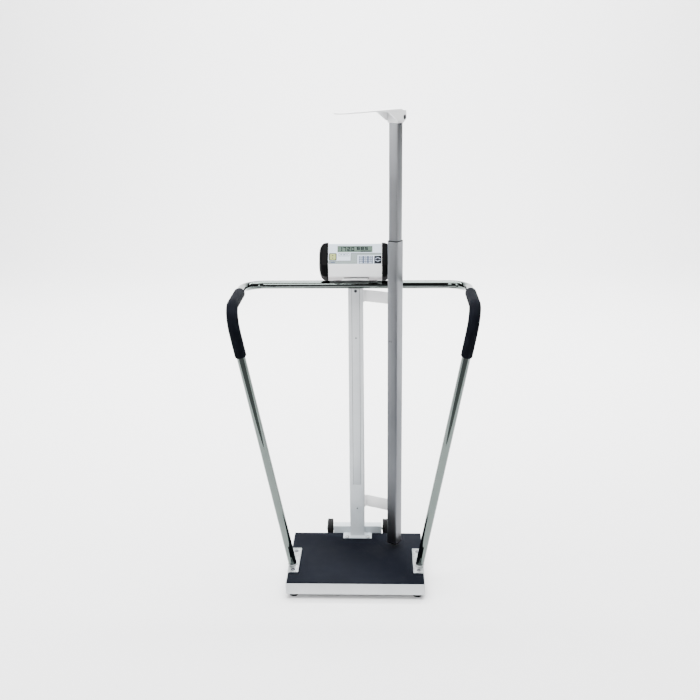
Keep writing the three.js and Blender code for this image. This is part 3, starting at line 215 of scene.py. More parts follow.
def new_group(name, inputs, outputs):
    """A shader node group with its input and output nodes; inputs are (name, kind, default)."""
    group = bpy.data.node_groups.new(name, "ShaderNodeTree")
    for label, kind, default in inputs:
        socket = group.interface.new_socket(name=label, in_out="INPUT", socket_type="NodeSocket" + kind)
        socket.default_value = default
    for label, kind in outputs:
        group.interface.new_socket(name=label, in_out="OUTPUT", socket_type="NodeSocket" + kind)
    return group, group.nodes.new("NodeGroupInput"), group.nodes.new("NodeGroupOutput")


def use_group(tree, group, **values):
    node = tree.nodes.new("ShaderNodeGroup")
    node.node_tree = group
    return set_inputs(node, **values)


# Fine surface grain: a bump of one noise, and a roughness that wanders with a broader one.
grain, grain_in, grain_out = new_group("surface_grain", [
    ("Scale", "Float", 600.0), ("Stretch", "Vector", (1, 1, 1)), ("Bump", "Float", 0.1),
    ("Smoothest", "Float", 0.3), ("Roughest", "Float", 0.45),
], [("Roughness", "Float"), ("Normal", "Vector")])
grain_place = add_node(grain, "TexCoord")
grain_map = add_node(grain, "Mapping")
grain_fine = add_node(grain, "TexNoise", Detail=3)
grain_broad = add_node(grain, "TexNoise", Scale=9, Detail=4)
grain_bump = add_node(grain, "Bump", Distance=0.0004)
grain_range = add_node(grain, "MapRange", From_Min=0.3, From_Max=0.7)
connect(grain, (grain_place, "Object", grain_map, "Vector"), (grain_in, "Stretch", grain_map, "Scale"),
        (grain_map, "Vector", grain_fine, "Vector"), (grain_in, "Scale", grain_fine, "Scale"),
        (grain_place, "Object", grain_broad, "Vector"), (grain_fine, "Fac", grain_bump, "Height"),
        (grain_in, "Bump", grain_bump, "Strength"), (grain_broad, "Fac", grain_range, "Value"),
        (grain_in, "Smoothest", grain_range, "To Min"), (grain_in, "Roughest", grain_range, "To Max"),
        (grain_range, "Result", grain_out, "Roughness"), (grain_bump, "Normal", grain_out, "Normal"))

# Tone patches and edge highlight: where edges stand proud the colour turns to the edge colour, a painted
# highlight broken up by noise, and in cloudy patches on the faces the tone shifts at random.
patch_and_highlight, patch_and_highlight_in, patch_and_highlight_out = new_group("tone_patches_and_edge_highlight", [
    ("Color", "Color", (0.8, 0.8, 0.8, 1)), ("Edge Color", "Color", (0.5, 0.5, 0.5, 1)),
    ("Edge", "Float", 0.3), ("Cloud Color", "Color", (0.6, 0.6, 0.6, 1)),
    ("Cloud", "Float", 0.15), ("Cloud Scale", "Float", 14.0),
], [("Color", "Color")])
wear_place = add_node(patch_and_highlight, "TexCoord")
patch_noise = add_node(patch_and_highlight, "TexNoise", Detail=6, Roughness=0.65)
highlight_geometry = add_node(patch_and_highlight, "NewGeometry")
edge_highlight_mask = add_node(patch_and_highlight, "MapRange", From_Min=0.52, From_Max=0.62)
wear_cloud = add_node(patch_and_highlight, "MapRange", From_Min=0.45, From_Max=0.75)
broken_edge_highlight, edge_highlight_strength, wear_cloud_amount = (add_node(patch_and_highlight, "Math") for _ in range(3))
for product in (broken_edge_highlight, edge_highlight_strength, wear_cloud_amount):
    product.operation = "MULTIPLY"
wear_first = add_node(patch_and_highlight, "MixRGB")
edge_highlight_mix = add_node(patch_and_highlight, "MixRGB")
connect(patch_and_highlight, (wear_place, "Object", patch_noise, "Vector"), (patch_and_highlight_in, "Cloud Scale", patch_noise, "Scale"),
        (highlight_geometry, "Pointiness", edge_highlight_mask, "Value"), (patch_noise, "Fac", wear_cloud, "Value"),
        (edge_highlight_mask, "Result", broken_edge_highlight, 0), (patch_noise, "Fac", broken_edge_highlight, 1),
        (broken_edge_highlight, "Value", edge_highlight_strength, 0), (patch_and_highlight_in, "Edge", edge_highlight_strength, 1),
        (wear_cloud, "Result", wear_cloud_amount, 0), (patch_and_highlight_in, "Cloud", wear_cloud_amount, 1),
        (wear_cloud_amount, "Value", wear_first, "Fac"), (patch_and_highlight_in, "Color", wear_first, "Color1"),
        (patch_and_highlight_in, "Cloud Color", wear_first, "Color2"), (edge_highlight_strength, "Value", edge_highlight_mix, "Fac"),
        (wear_first, "Color", edge_highlight_mix, "Color1"), (patch_and_highlight_in, "Edge Color", edge_highlight_mix, "Color2"),
        (edge_highlight_mix, "Color", patch_and_highlight_out, "Color"))

# Painted shade by height: the colour turns slowly from a shade colour at the foot of a tall piece to its own
# colour at its head, painted shade and reflection standing in for the dim light low down.
painted_height_shade, tone_in, tone_out = new_group("painted_shade_by_height", [
    ("Low Color", "Color", (0.5, 0.5, 0.5, 1)), ("High Color", "Color", (0.8, 0.8, 0.8, 1)),
    ("Low", "Float", 0.0), ("High", "Float", 1.0),
], [("Color", "Color")])
tone_place = add_node(painted_height_shade, "TexCoord")
tone_parts = add_node(painted_height_shade, "SeparateXYZ")
tone_range = add_node(painted_height_shade, "MapRange")
tone_mix = add_node(painted_height_shade, "MixRGB")
connect(painted_height_shade, (tone_place, "Object", tone_parts, "Vector"), (tone_parts, "Z", tone_range, "Value"),
        (tone_in, "Low", tone_range, "From Min"), (tone_in, "High", tone_range, "From Max"),
        (tone_range, "Result", tone_mix, "Fac"), (tone_in, "Low Color", tone_mix, "Color1"),
        (tone_in, "High Color", tone_mix, "Color2"), (tone_mix, "Color", tone_out, "Color"))


def finish(name, color, metallic=0.0, coat=0.0, specular=0.5, bump=0.1, scale=600.0, stretch=(1, 1, 1),
           rough=(0.3, 0.45), edge=None, edge_highlight_amount=0.0, cloud=None, cloud_amount=0.0, cloud_scale=14.0,
           painted_shade_color=None, heights=(0.0, 1.0)):
    """A principled material whose colour, roughness and surface come from the shared groups."""
    material = bpy.data.materials.new(name)
    material.use_nodes = True
    tree = material.node_tree
    shader = set_inputs(tree.nodes["Principled BSDF"], Metallic=metallic, Coat_Weight=coat,
                        Coat_Roughness=0.12, Specular_IOR_Level=specular)
    surface = use_group(tree, grain, Scale=scale, Stretch=stretch, Bump=bump, Smoothest=rough[0],
                        Roughest=rough[1])
    # Edges turn to the lighter edge colour, a painted highlight; cloudy patches vary the tone at random.
    marks = use_group(tree, patch_and_highlight, Color=(*color, 1), Edge_Color=(*(edge or color), 1), Edge=edge_highlight_amount,
                      Cloud_Color=(*(cloud or color), 1), Cloud=cloud_amount, Cloud_Scale=cloud_scale)
    # Painted shade: below the given heights the colour darkens towards the shade colour.
    if painted_shade_color:
        shade = use_group(tree, painted_height_shade, Low_Color=(*painted_shade_color, 1), High_Color=(*color, 1), Low=heights[0],
                          High=heights[1])
        connect(tree, (shade, "Color", marks, "Color"))
    connect(tree, (marks, "Color", shader, "Base Color"), (surface, "Roughness", shader, "Roughness"),
            (surface, "Normal", shader, "Normal"))
    return material


cover_paint = finish("cover_paint", (0.37, 0.392, 0.405), rough=(0.3, 0.42), bump=0.12, scale=900, coat=0.15,
                     edge=(0.9, 0.91, 0.92), edge_highlight_amount=0.6, cloud=(0.32, 0.337, 0.35), cloud_amount=0.2)
cover_low, cover_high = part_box("platform_cover")
bm = bmesh.new()
box_in(bm, cover_low, cover_high)
round_edges(bm, [e for e in bm.edges if upright(e)], COVER_CORNER, 5)
bottom_faces = [f for f in bm.faces if f.normal.z < -0.9]
bmesh.ops.delete(bm, geom=bottom_faces, context="FACES")
round_edges(bm, sharp_edges(bm), COVER_FOLD, 3)
bmesh.ops.recalc_face_normals(bm, faces=bm.faces)
bmesh.ops.solidify(bm, geom=bm.faces, thickness=COVER_WALL)
piece("platform_pan", bm, cover_paint, "base", "white_paint", "platform_cover", recalc=False)


# ---- Rubber mat ----
# A plain 3 mm rubber sheet bonded to the pan, notched at the back around the column's base plate.
# Its outline is one face pushed up and softened along the top. The rubber's fine pebble is in the material.
mat_rubber = finish("mat_rubber", (0.0018, 0.0026, 0.0052), rough=(0.8, 0.95), bump=0.9, scale=420,
                    specular=0.05, edge=(0.012, 0.014, 0.019), edge_highlight_amount=0.8,
                    cloud=(0.0034, 0.0044, 0.0078), cloud_amount=0.6, cloud_scale=5)
mat_low, mat_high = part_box("rubber_mat")
base_low, base_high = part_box("column_base")
NOTCH_GAP = 0.0006


def prism(bm, points, lift):
    """A flat outline pushed along a direction; its points run round it in order. Gives back its vertices."""
    base = [bm.verts.new(p) for p in points]
    made = bmesh.ops.extrude_face_region(bm, geom=[bm.faces.new(base)])["geom"]
    raised = [v for v in made if isinstance(v, bmesh.types.BMVert)]
    bmesh.ops.translate(bm, vec=lift, verts=raised)
    return base + raised


bm = bmesh.new()
notch_left, notch_right = base_low[0] - NOTCH_GAP, base_high[0] + NOTCH_GAP
notch_front = base_low[1] - NOTCH_GAP
outline = [(mat_low[0], mat_low[1]), (mat_high[0], mat_low[1]), (mat_high[0], mat_high[1]),
           (notch_right, mat_high[1]), (notch_right, notch_front), (notch_left, notch_front),
           (notch_left, mat_high[1]), (mat_low[0], mat_high[1])]
prism(bm, [(x, y, mat_low[2]) for x, y in outline], (0, 0, mat_high[2] - mat_low[2]))
bmesh.ops.recalc_face_normals(bm, faces=bm.faces)
round_edges(bm, [e for e in bm.edges if upright(e)], 0.0015, 3)
round_edges(bm, [e for e in sharp_edges(bm) if min(v.co.z for v in e.verts) > mat_high[2] - 1e-5], 0.0009, 3)
piece("rubber_top", bm, mat_rubber, "base", "mat_rubber", "rubber_mat")


# ---- Levelling feet ----
# Four screw feet: a rubber pad with a steel boss, and a zinc-plated stud with a lock nut, threaded into a
# load cell. Each is a profile spun about its own axis; the nut is a six-sided block with softened corners.
PAD_PROFILE = [(0, 0), (0.013, 0), (0.0148, 0.0008), (0.0155, 0.0022), (0.0155, 0.0042), (0.0149, 0.0052),
               (0.0118, 0.0066), (0.0105, 0.007), (0.0056, 0.007), (0.0054, 0.0066), (0.0054, 0.0034),
               (0, 0.0034)]
THREAD_PITCH = 0.0015
THREAD_START = 0.015
THREAD_OUT, THREAD_ROOT = 0.005, 0.0043
NUT_RADIUS, NUT_HEIGHT, NUT_MIDDLE = 0.0089, 0.005, 0.011
CORNERS = ("fl", "fr", "rl", "rr")


def spun(bm, profile, centre, axis=(0, 0, 1), steps=48):
    """Turns a (radius, height) profile about an axis through centre; closed at the axis."""
    verts = [bm.verts.new((r, 0, z)) for r, z in profile]
    edges = [bm.edges.new(pair) for pair in zip(verts, verts[1:])]
    bmesh.ops.spin(bm, geom=verts + edges, cent=(0, 0, 0), axis=(0, 0, 1), angle=2 * math.pi, steps=steps,
                   use_merge=True, use_duplicate=False)
    fresh = list({v for f in bm.faces if not f.tag for v in f.verts})
    bmesh.ops.remove_doubles(bm, verts=fresh, dist=1e-6)
    turned = [f for f in bm.faces if not f.tag]
    bmesh.ops.recalc_face_normals(bm, faces=turned)
    place = Matrix.Translation(Vector(centre)) @ Vector(axis).to_track_quat("Z", "Y").to_matrix().to_4x4()
    bmesh.ops.transform(bm, matrix=place, verts=list({v for f in turned for v in f.verts}))
    for face in turned:
        face.tag = True


def middle_of(node):
    """The middle of a node's box."""
    low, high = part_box(node)
    return (Vector(low) + Vector(high)) / 2


zinc = finish("zinc_plate", (0.36, 0.385, 0.39), metallic=1, rough=(0.28, 0.5), bump=0.12, scale=350,
              edge=(0.8, 0.81, 0.82), edge_highlight_amount=0.7, cloud=(0.1, 0.115, 0.12), cloud_amount=0.85,
              cloud_scale=110)
pad_rubber = finish("pad_rubber", (0.009, 0.0095, 0.011), rough=(0.6, 0.85), bump=0.3, scale=500,
                    specular=0.25, cloud=(0.06, 0.06, 0.06), cloud_amount=0.4, cloud_scale=80)
for corner in CORNERS:
    centre = middle_of(f"foot_pad_{corner}")
    stud_low, stud_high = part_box(f"foot_stud_{corner}")
    bm = bmesh.new()
    spun(bm, PAD_PROFILE, (centre.x, centre.y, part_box(f"foot_pad_{corner}")[0][2]))
    piece(f"foot_glide_{corner}", bm, pad_rubber, f"pad_{corner}", "black_rubber", f"foot_pad_{corner}")
    bm = bmesh.new()
    turns = int((stud_high[2] - THREAD_START) / THREAD_PITCH)
    thread = [(0, stud_low[2]), (0.0042, stud_low[2]), (THREAD_OUT, stud_low[2] + 0.001),
              (THREAD_OUT, 0.0145)]
    for turn in range(turns):
        foot = THREAD_START + turn * THREAD_PITCH
        thread += [(THREAD_ROOT, foot), (THREAD_OUT, foot + THREAD_PITCH * 0.5)]
    spun(bm, thread + [(0.0042, stud_high[2]), (0, stud_high[2])], (centre.x, centre.y, 0), steps=32)
    nut_place = Matrix.Translation((centre.x, centre.y, NUT_MIDDLE))
    nut = bmesh.ops.create_cone(bm, cap_ends=True, segments=6, radius1=NUT_RADIUS, radius2=NUT_RADIUS,
                                depth=NUT_HEIGHT, matrix=nut_place)["verts"]
    round_edges(bm, [e for e in edges_of(nut) if not upright(e)], 0.0006, 2)
    piece(f"foot_screw_{corner}", bm, zinc, f"stud_{corner}", "zinc", f"foot_stud_{corner}")


# ---- Underframe and load cells ----
# Welded steel bars under the pan, four aluminium load cells bolted to them, and the sealed junction box.
# Their shapes are the model's own; here they get grey primer, machined aluminium and black moulded plastic.
primer = finish("grey_primer", (0.1, 0.108, 0.115), rough=(0.5, 0.7), bump=0.25, scale=300,
                cloud=(0.16, 0.165, 0.17), cloud_amount=0.5, cloud_scale=20)
machined = finish("machined_cell", (0.62, 0.63, 0.65), metallic=1, rough=(0.25, 0.4), bump=0.15, scale=250,
                  stretch=(0.05, 1, 1))
black_plastic = finish("black_plastic", (0.002, 0.002, 0.0024), rough=(0.42, 0.55), bump=0.3, scale=700,
                       specular=0.06, edge=(0.01, 0.01, 0.012), edge_highlight_amount=0.4)


def refinish(node, material):
    """Gives a node that keeps its own shape a better material."""
    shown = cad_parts[node]
    shown.data.materials.clear()
    shown.data.materials.append(material)


for node in ("platform_frame", "rail_saddle"):
    refinish(node, primer)
for corner in CORNERS:
    refinish(f"load_cell_{corner}", machined)
for node in ("junction_box", "rod_guide_shoe", "battery_pack"):
    refinish(node, black_plastic)


# ---- Column ----
# A rectangular white steel tube stands on a base plate in the mat's notch. A narrow cover strip lies flush in
# its face between two grooves and hides the indicator's cable. Flat outlines are pushed up; screws are spun.
# Below 0.75 m the white paint darkens towards a bluish grey at the foot: painted reflection of the dark mat
# and floor.
column_paint = finish("column_paint", (0.56, 0.583, 0.602), rough=(0.28, 0.4), bump=0.1, scale=900, coat=0.2,
                      edge=(0.9, 0.91, 0.92), edge_highlight_amount=0.6, cloud=(0.49, 0.51, 0.53), cloud_amount=0.2,
                      painted_shade_color=(0.36, 0.41, 0.445), heights=(0.1, 0.75))
STRIP_GAP = 0.0011
tube_low, tube_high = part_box("column_tube")
strip_low, strip_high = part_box("column_front_strip")

bm = bmesh.new()
left, right = tube_low[0], tube_high[0]
front, rear = tube_low[1], tube_high[1]
groove_left, groove_right = strip_low[0] - STRIP_GAP, strip_high[0] + STRIP_GAP
groove_depth = strip_high[1] + 0.0003
lower = [(left, front), (right, front), (right, rear), (left, rear)]
upper = [(left, front), (groove_left, front), (groove_left, groove_depth), (groove_right, groove_depth),
         (groove_right, front), (right, front), (right, rear), (left, rear)]
strip_foot = strip_low[2] - STRIP_GAP
prism(bm, [(x, y, tube_low[2]) for x, y in lower], (0, 0, strip_foot - tube_low[2]))
prism(bm, [(x, y, strip_foot) for x, y in upper], (0, 0, tube_high[2] - strip_foot))
bmesh.ops.remove_doubles(bm, verts=bm.verts, dist=1e-6)
bmesh.ops.recalc_face_normals(bm, faces=bm.faces)
corners = [e for e in bm.edges if upright(e) and min(abs(e.verts[0].co.x - x) for x in (left, right)) < 1e-5]
round_edges(bm, corners, 0.0022, 4)
piece("column_post", bm, column_paint, "base", "white_paint", "column_tube")

bm = bmesh.new()
box_in(bm, strip_low, strip_high)
round_edges(bm, bm.edges, 0.0005, 2)
piece("cable_cover_strip", bm, column_paint, "base", "white_paint", "column_front_strip")

# Dark strips lie in the two grooves beside the cover strip: painted shade in the recesses.
groove_dark = finish("groove_shadow", (0.03, 0.034, 0.042), rough=(0.7, 0.8), bump=0.2)
bm = bmesh.new()
for x0, x1 in ((groove_left + 0.0001, strip_low[0]), (strip_high[0], groove_right - 0.0001)):
    box_in(bm, (x0, front + 0.0009, strip_foot + 0.0002), (x1, groove_depth - 0.0001, tube_high[2] - 0.0005))
piece("groove_shade_strips", bm, groove_dark, "base", "black_rubber")

bm = bmesh.new()
box_in(bm, base_low, base_high)
round_edges(bm, [e for e in bm.edges if upright(e)], 0.003, 4)
round_edges(bm, sharp_edges(bm), 0.0007, 2)
piece("base_flange", bm, column_paint, "base", "white_paint", "column_base")
WELD = 0.0024
bm = bmesh.new()
weld_z = base_high[2] + WELD * 0.35
BEADS = 24
for (ax, ay), (bx, by) in zip(lower, lower[1:] + lower[:1]):
    for step in range(BEADS):
        share = (step + 0.5) / BEADS
        bead = bmesh.ops.create_icosphere(bm, subdivisions=2, radius=WELD)["verts"]
        bmesh.ops.scale(bm, vec=(1, 1, 0.8), verts=bead)
        bmesh.ops.translate(bm, vec=(ax + (bx - ax) * share, ay + (by - ay) * share, weld_z), verts=bead)
piece("base_weld", bm, column_paint, "base", "white_paint")


def screw(bm, centre, out, head, crown):
    """A screw head on a face: a rounded disc spun about its axis."""
    profile = [(0, -0.0005), (head, -0.0005), (head, crown * 0.45), (head * 0.93, crown * 0.75),
               (head * 0.75, crown * 0.95), (0, crown)]
    spun(bm, profile, centre, out, steps=40)


def drive_mark(bm, centre, out, reach, width, angles):
    """Dark bars that lie in the drive of a screw head: painted shade in its recess."""
    turn = Vector(out).to_track_quat("Z", "Y").to_matrix().to_4x4()
    for angle in angles:
        bar = box_in(bm, (-reach, -width, -0.0004), (reach, width, 0.00012))
        spin_to = Matrix.Rotation(math.radians(angle), 4, "Z")
        bmesh.ops.transform(bm, matrix=Matrix.Translation(centre) @ turn @ spin_to, verts=bar)


dark_steel = finish("dark_steel", (0.075, 0.08, 0.088), metallic=1, rough=(0.28, 0.45), bump=0.1, scale=400,
                    edge=(0.4, 0.41, 0.43), edge_highlight_amount=0.8)
drive_dark = finish("drive_shadow", (0.008, 0.008, 0.009), rough=(0.7, 0.8))
SCREWS = [("strip_screw_top", 0.0055, 0.0030), ("strip_screw_mid", 0.0026, 0.0014),
          ("strip_screw_low", 0.0026, 0.0014)]
for node, head, crown in SCREWS:
    centre = middle_of(node)
    centre.y = front
    bm = bmesh.new()
    screw(bm, centre, (0, -1, 0), head, crown)
    piece(f"{node}_head", bm, dark_steel, "base", "dark_steel", node)
    bm = bmesh.new()
    drive_mark(bm, centre + Vector((0, -crown, 0)), (0, -1, 0), head * 0.55, head * 0.12, (0, 90))
    piece(f"{node}_drive", bm, drive_dark, "base", "dark_steel")
WASHER = 0.0012
for side in ("left", "right"):
    centre = middle_of(f"base_screw_{side}")
    centre.z = base_high[2]
    bm = bmesh.new()
    screw(bm, centre, (0, 0, 1), 0.007, 0.0034)
    bmesh.ops.create_cone(bm, cap_ends=True, segments=40, radius1=0.0088, radius2=0.0084, depth=WASHER,
                          matrix=Matrix.Translation(centre + Vector((0, 0, WASHER / 2))))
    piece(f"base_screw_{side}_head", bm, zinc, "base", "zinc", f"base_screw_{side}")
    bm = bmesh.new()
    drive_mark(bm, centre + Vector((0, 0, 0.0034)), (0, 0, 1), 0.0052, 0.0008, (20,))
    piece(f"base_screw_{side}_slot", bm, drive_dark, "base", "zinc")


# ---- Handrail ----
# One length of 28 mm chromed steel tube: out of the left foot, up, round the front bend, back along the side,
# across over the column and down on the right. A ring is pushed along straights and spun round each bend.
RAIL_RADIUS = 0.014
REAR_BEND = 0.070
FRONT_BEND = 0.066
RAIL_HALF = 0.3757
FRONT_HALF = 0.3733
FOOT_HALF = 0.2167
FRONT_REACH = 0.355
FOOT_BACK = 0.1325
# The chrome's base colour is set far darker than plated chrome: a painted reflection of dark surroundings.
chrome = finish("chrome_plate", (0.105, 0.123, 0.116), metallic=1, rough=(0.05, 0.1), bump=0.008, scale=90,
                cloud=(0.085, 0.1, 0.095), cloud_amount=0.25, cloud_scale=25)
PLATE_RISE = 0.004
rail_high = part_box("handrail_tube")[1]
rail_z = rail_high[2] - RAIL_RADIUS
rail_rear = rail_high[1] - RAIL_RADIUS
rail_front = rail_rear - FRONT_REACH
plate_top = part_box("rail_foot_left")[0][2] + PLATE_RISE


def rail_corners(side):
    """The tube's corner points from the middle of the cross bar to the foot of one leg."""
    return [Vector((0, rail_rear, rail_z)), Vector((side * RAIL_HALF, rail_rear, rail_z)),
            Vector((side * FRONT_HALF, rail_front, rail_z)),
            Vector((side * FOOT_HALF, rail_front + FOOT_BACK, plate_top))]


def run_tube(bm, radius, corners, bends, sides=48, steps=20):
    """Pushes a ring along the straights between corners and spins it round each bend."""
    ring = bmesh.ops.create_circle(bm, cap_ends=False, segments=sides, radius=radius)["verts"]
    heading = (corners[1] - corners[0]).normalized()
    stand = Matrix.Translation(corners[0]) @ heading.to_track_quat("Z", "Y").to_matrix().to_4x4()
    bmesh.ops.transform(bm, matrix=stand, verts=ring)
    edges = edges_of(ring)
    place = corners[0]
    for before, corner, after, bend in zip(corners, corners[1:], corners[2:], bends):
        inward, outward = (before - corner).normalized(), (after - corner).normalized()
        half = inward.angle(outward) / 2
        edges = pushed(bm, edges, corner + inward * bend / math.tan(half) - place)
        centre = corner + (inward + outward).normalized() * bend / math.sin(half)
        axis = (-inward).cross(outward).normalized()
        last = bmesh.ops.spin(bm, geom=edges, cent=centre, axis=axis, angle=math.pi - 2 * half, steps=steps)
        edges = [e for e in last["geom_last"] if isinstance(e, bmesh.types.BMEdge)]
        place = corner + outward * bend / math.tan(half)
    pushed(bm, edges, corners[-1] - place)


def pushed(bm, edges, step):
    """Extrudes a ring of edges by one step and gives back the new ring."""
    made = bmesh.ops.extrude_edge_only(bm, edges=edges)["geom"]
    bmesh.ops.translate(bm, vec=step, verts=[v for v in made if isinstance(v, bmesh.types.BMVert)])
    return [e for e in made if isinstance(e, bmesh.types.BMEdge)]


bm = bmesh.new()
left_leg, right_leg = rail_corners(-1), rail_corners(1)
for leg in (left_leg, right_leg):
    leg[-1] += (leg[-1] - leg[-2]).normalized() * RAIL_RADIUS
run_tube(bm, RAIL_RADIUS, left_leg[:0:-1] + right_leg[1:], (FRONT_BEND, REAR_BEND, REAR_BEND, FRONT_BEND))
bmesh.ops.bisect_plane(bm, geom=bm.verts[:] + bm.edges[:] + bm.faces[:], plane_co=(0, 0, plate_top + 0.0002),
                       plane_no=(0, 0, 1), clear_inner=True)
bmesh.ops.holes_fill(bm, edges=[e for e in bm.edges if e.is_boundary], sides=0)
piece("handrail", bm, chrome, "base", "chrome", "handrail_tube")


# ---- Foam grips ----
# A sleeve of closed-cell foam about 4.4 mm thick is pushed over the rail's front bend on each side.
# It follows the rail's own bend, its ends are rolled over, and the foam's fine cells are in the material.
GRIP_RADIUS = 0.0184
GRIP_BACK = 0.126
GRIP_LENGTH = 0.346
GRIP_ROLL = 0.0038
SIDES = (("left", -1), ("right", 1))
foam = finish("grip_foam", (0.0015, 0.002, 0.0042), rough=(0.8, 0.95), bump=0.8, scale=520, specular=0.06,
              cloud=(0.0045, 0.0056, 0.0095), cloud_amount=0.7, cloud_scale=40)
for side, sign in SIDES:
    back_corner, front_corner, foot = rail_corners(sign)[1:]
    backward = (front_corner - back_corner).normalized()
    downward = (foot - front_corner).normalized()
    half = (-backward).angle(downward) / 2
    start = back_corner + backward * GRIP_BACK
    run = (front_corner - start).length - FRONT_BEND / math.tan(half)
    tail = GRIP_LENGTH - run - FRONT_BEND * (math.pi - 2 * half)
    end = front_corner + downward * (FRONT_BEND / math.tan(half) + tail)
    bm = bmesh.new()
    run_tube(bm, GRIP_RADIUS, [start, front_corner, end], (FRONT_BEND,), sides=64, steps=40)
    bmesh.ops.holes_fill(bm, edges=[e for e in bm.edges if e.is_boundary], sides=0)
    bmesh.ops.recalc_face_normals(bm, faces=bm.faces)
    round_edges(bm, sharp_edges(bm), GRIP_ROLL, 6)
    long_edges = [e for e in bm.edges if e.calc_length() > 0.03]
    bmesh.ops.subdivide_edges(bm, edges=long_edges, cuts=16, use_grid_fill=True)
    grip_piece = piece(f"foam_grip_{side}", bm, foam, "base", "foam", f"grip_{side}", crease=60)


# ---- Handrail feet ----
# A zinc-plated steel plate under each leg, with a lip turned up at its rear edge and two dark bolts into the
# underframe. The leg is welded on: a bead of small overlapping drops runs round the joint.
PLATE_WIDTH = 0.036
LIP_RISE = 0.0025
DROP = 0.0023
DROPS = 30
for side, sign in SIDES:
    low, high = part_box(f"rail_foot_{side}")
    x0, x1 = (high[0] - PLATE_WIDTH, high[0]) if sign < 0 else (low[0], low[0] + PLATE_WIDTH)
    bm = bmesh.new()
    plate = [(low[1], low[2]), (high[1], low[2]), (high[1], plate_top + LIP_RISE),
             (high[1] - 0.0038, plate_top + LIP_RISE), (high[1] - 0.0046, plate_top), (low[1], plate_top)]
    prism(bm, [(x0, y, z) for y, z in plate], (x1 - x0, 0, 0))
    bmesh.ops.recalc_face_normals(bm, faces=bm.faces)
    round_edges(bm, [e for e in bm.edges if upright(e) and e.verts[0].co.y < low[1] + 1e-4], 0.003, 4)
    round_edges(bm, sharp_edges(bm, 40), 0.0005, 2)
    foot = rail_corners(sign)[-1]
    lean = (foot - rail_corners(sign)[-2]).normalized()
    for step in range(DROPS):
        angle = 2 * math.pi * step / DROPS
        across = Vector((1, 0, 0)) * math.cos(angle) + Vector((0, 1, 0)) * math.sin(angle)
        stretch = 1 / math.sqrt(1 - (across.dot(lean)) ** 2)
        bead = bmesh.ops.create_icosphere(bm, subdivisions=2, radius=DROP)["verts"]
        spot = foot + across * RAIL_RADIUS * stretch
        bmesh.ops.translate(bm, vec=(spot[0], spot[1], plate_top + 0.0008), verts=bead)
    piece(f"rail_plate_{side}", bm, zinc, "base", "zinc", f"rail_foot_{side}")
    for place in ("front", "rear"):
        node = f"rail_bolt_{side}_{place}"
        centre = middle_of(node)
        centre.z = plate_top
        bm = bmesh.new()
        spun(bm, [(0, 0), (0.007, 0), (0.007, 0.0012), (0.0062, 0.0026), (0.0045, 0.0035), (0.0026, 0.0038),
                  (0.0024, 0.0016), (0, 0.0014)], centre)
        piece(f"{node}_head", bm, dark_steel, "base", "dark_steel", node)


# ---- Height rod ----
# Two telescoping aluminium tubes, satin and brushed lengthwise, turned to face the middle of the platform.
# A black collar caps the outer tube, a plug closes its foot, and a shoe guides the inner tube's hidden end.
ROD_TURN = math.radians(-33)
ROD_CENTRE = Vector((0.132, 0.05868, 0))
rod_turn = Matrix.Rotation(ROD_TURN, 4, "Z")
rod_place = Matrix.Translation(ROD_CENTRE) @ rod_turn


def rounded_rectangle(half_x, half_y, radius, steps=6):
    """Points round a rectangle with rounded corners."""
    points = []
    for quarter, (sx, sy) in enumerate(((1, 1), (-1, 1), (-1, -1), (1, -1))):
        for step in range(steps + 1):
            angle = (quarter + step / steps) * math.pi / 2
            points.append((sx * (half_x - radius) + radius * math.cos(angle),
                           sy * (half_y - radius) + radius * math.sin(angle)))
    return points


def raised_solid(bm, outline, low, high, place):
    """A closed solid: an outline in X and Y raised between two heights, then put in its place."""
    verts = prism(bm, [(x, y, low) for x, y in outline], (0, 0, high - low))
    bmesh.ops.transform(bm, matrix=place, verts=verts)


def bored(bm, outline, inner, low, high, place):
    """A tube with open ends: walls outside and in, joined by flat rims."""
    rings = []
    for points in (outline, inner):
        for z in (low, high):
            rings.append([bm.verts.new(place @ Vector((x, y, z))) for x, y in points])
    outer_low, outer_high, inner_low, inner_high = rings
    count = len(outline)
    for first, second in ((outer_low, outer_high), (outer_high, inner_high), (inner_high, inner_low),
                          (inner_low, outer_low)):
        for i in range(count):
            j = (i + 1) % count
            bm.faces.new((first[i], first[j], second[j], second[i]))


# Both tubes darken downwards, the outer below 1.15 m and the inner below 1.5 m: painted reflection of the
# dark mat and surroundings.
rod_metal = finish("brushed_rod", (0.3, 0.312, 0.33), metallic=1, rough=(0.3, 0.42), bump=0.22, scale=260,
                   stretch=(6, 6, 0.06), cloud=(0.125, 0.133, 0.145), cloud_amount=0.1,
                   painted_shade_color=(0.095, 0.1, 0.108), heights=(0.55, 1.15))
inner_metal = finish("brushed_inner_rod", (0.3, 0.31, 0.325), metallic=1, rough=(0.28, 0.4), bump=0.22,
                     scale=260, stretch=(6, 6, 0.06), cloud=(0.27, 0.28, 0.295), cloud_amount=0.2,
                     painted_shade_color=(0.25, 0.26, 0.275), heights=(0.9, 1.5))
OUTER_HALF, INNER_HALF = (0.019, 0.020), (0.017, 0.0155)
for node, halves, wall, corner, metal, body in (
        ("rod_outer", OUTER_HALF, 0.0016, 0.005, rod_metal, "base"),
        ("rod_inner", INNER_HALF, 0.0015, 0.004, inner_metal, "rod_inner")):
    low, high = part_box(node)
    bm = bmesh.new()
    bored(bm, rounded_rectangle(*halves, corner),
          rounded_rectangle(*(h - wall for h in halves), corner - wall), low[2], high[2], rod_place)
    piece(f"{node}_tube", bm, metal, body, "rod_aluminium", node, crease=25)

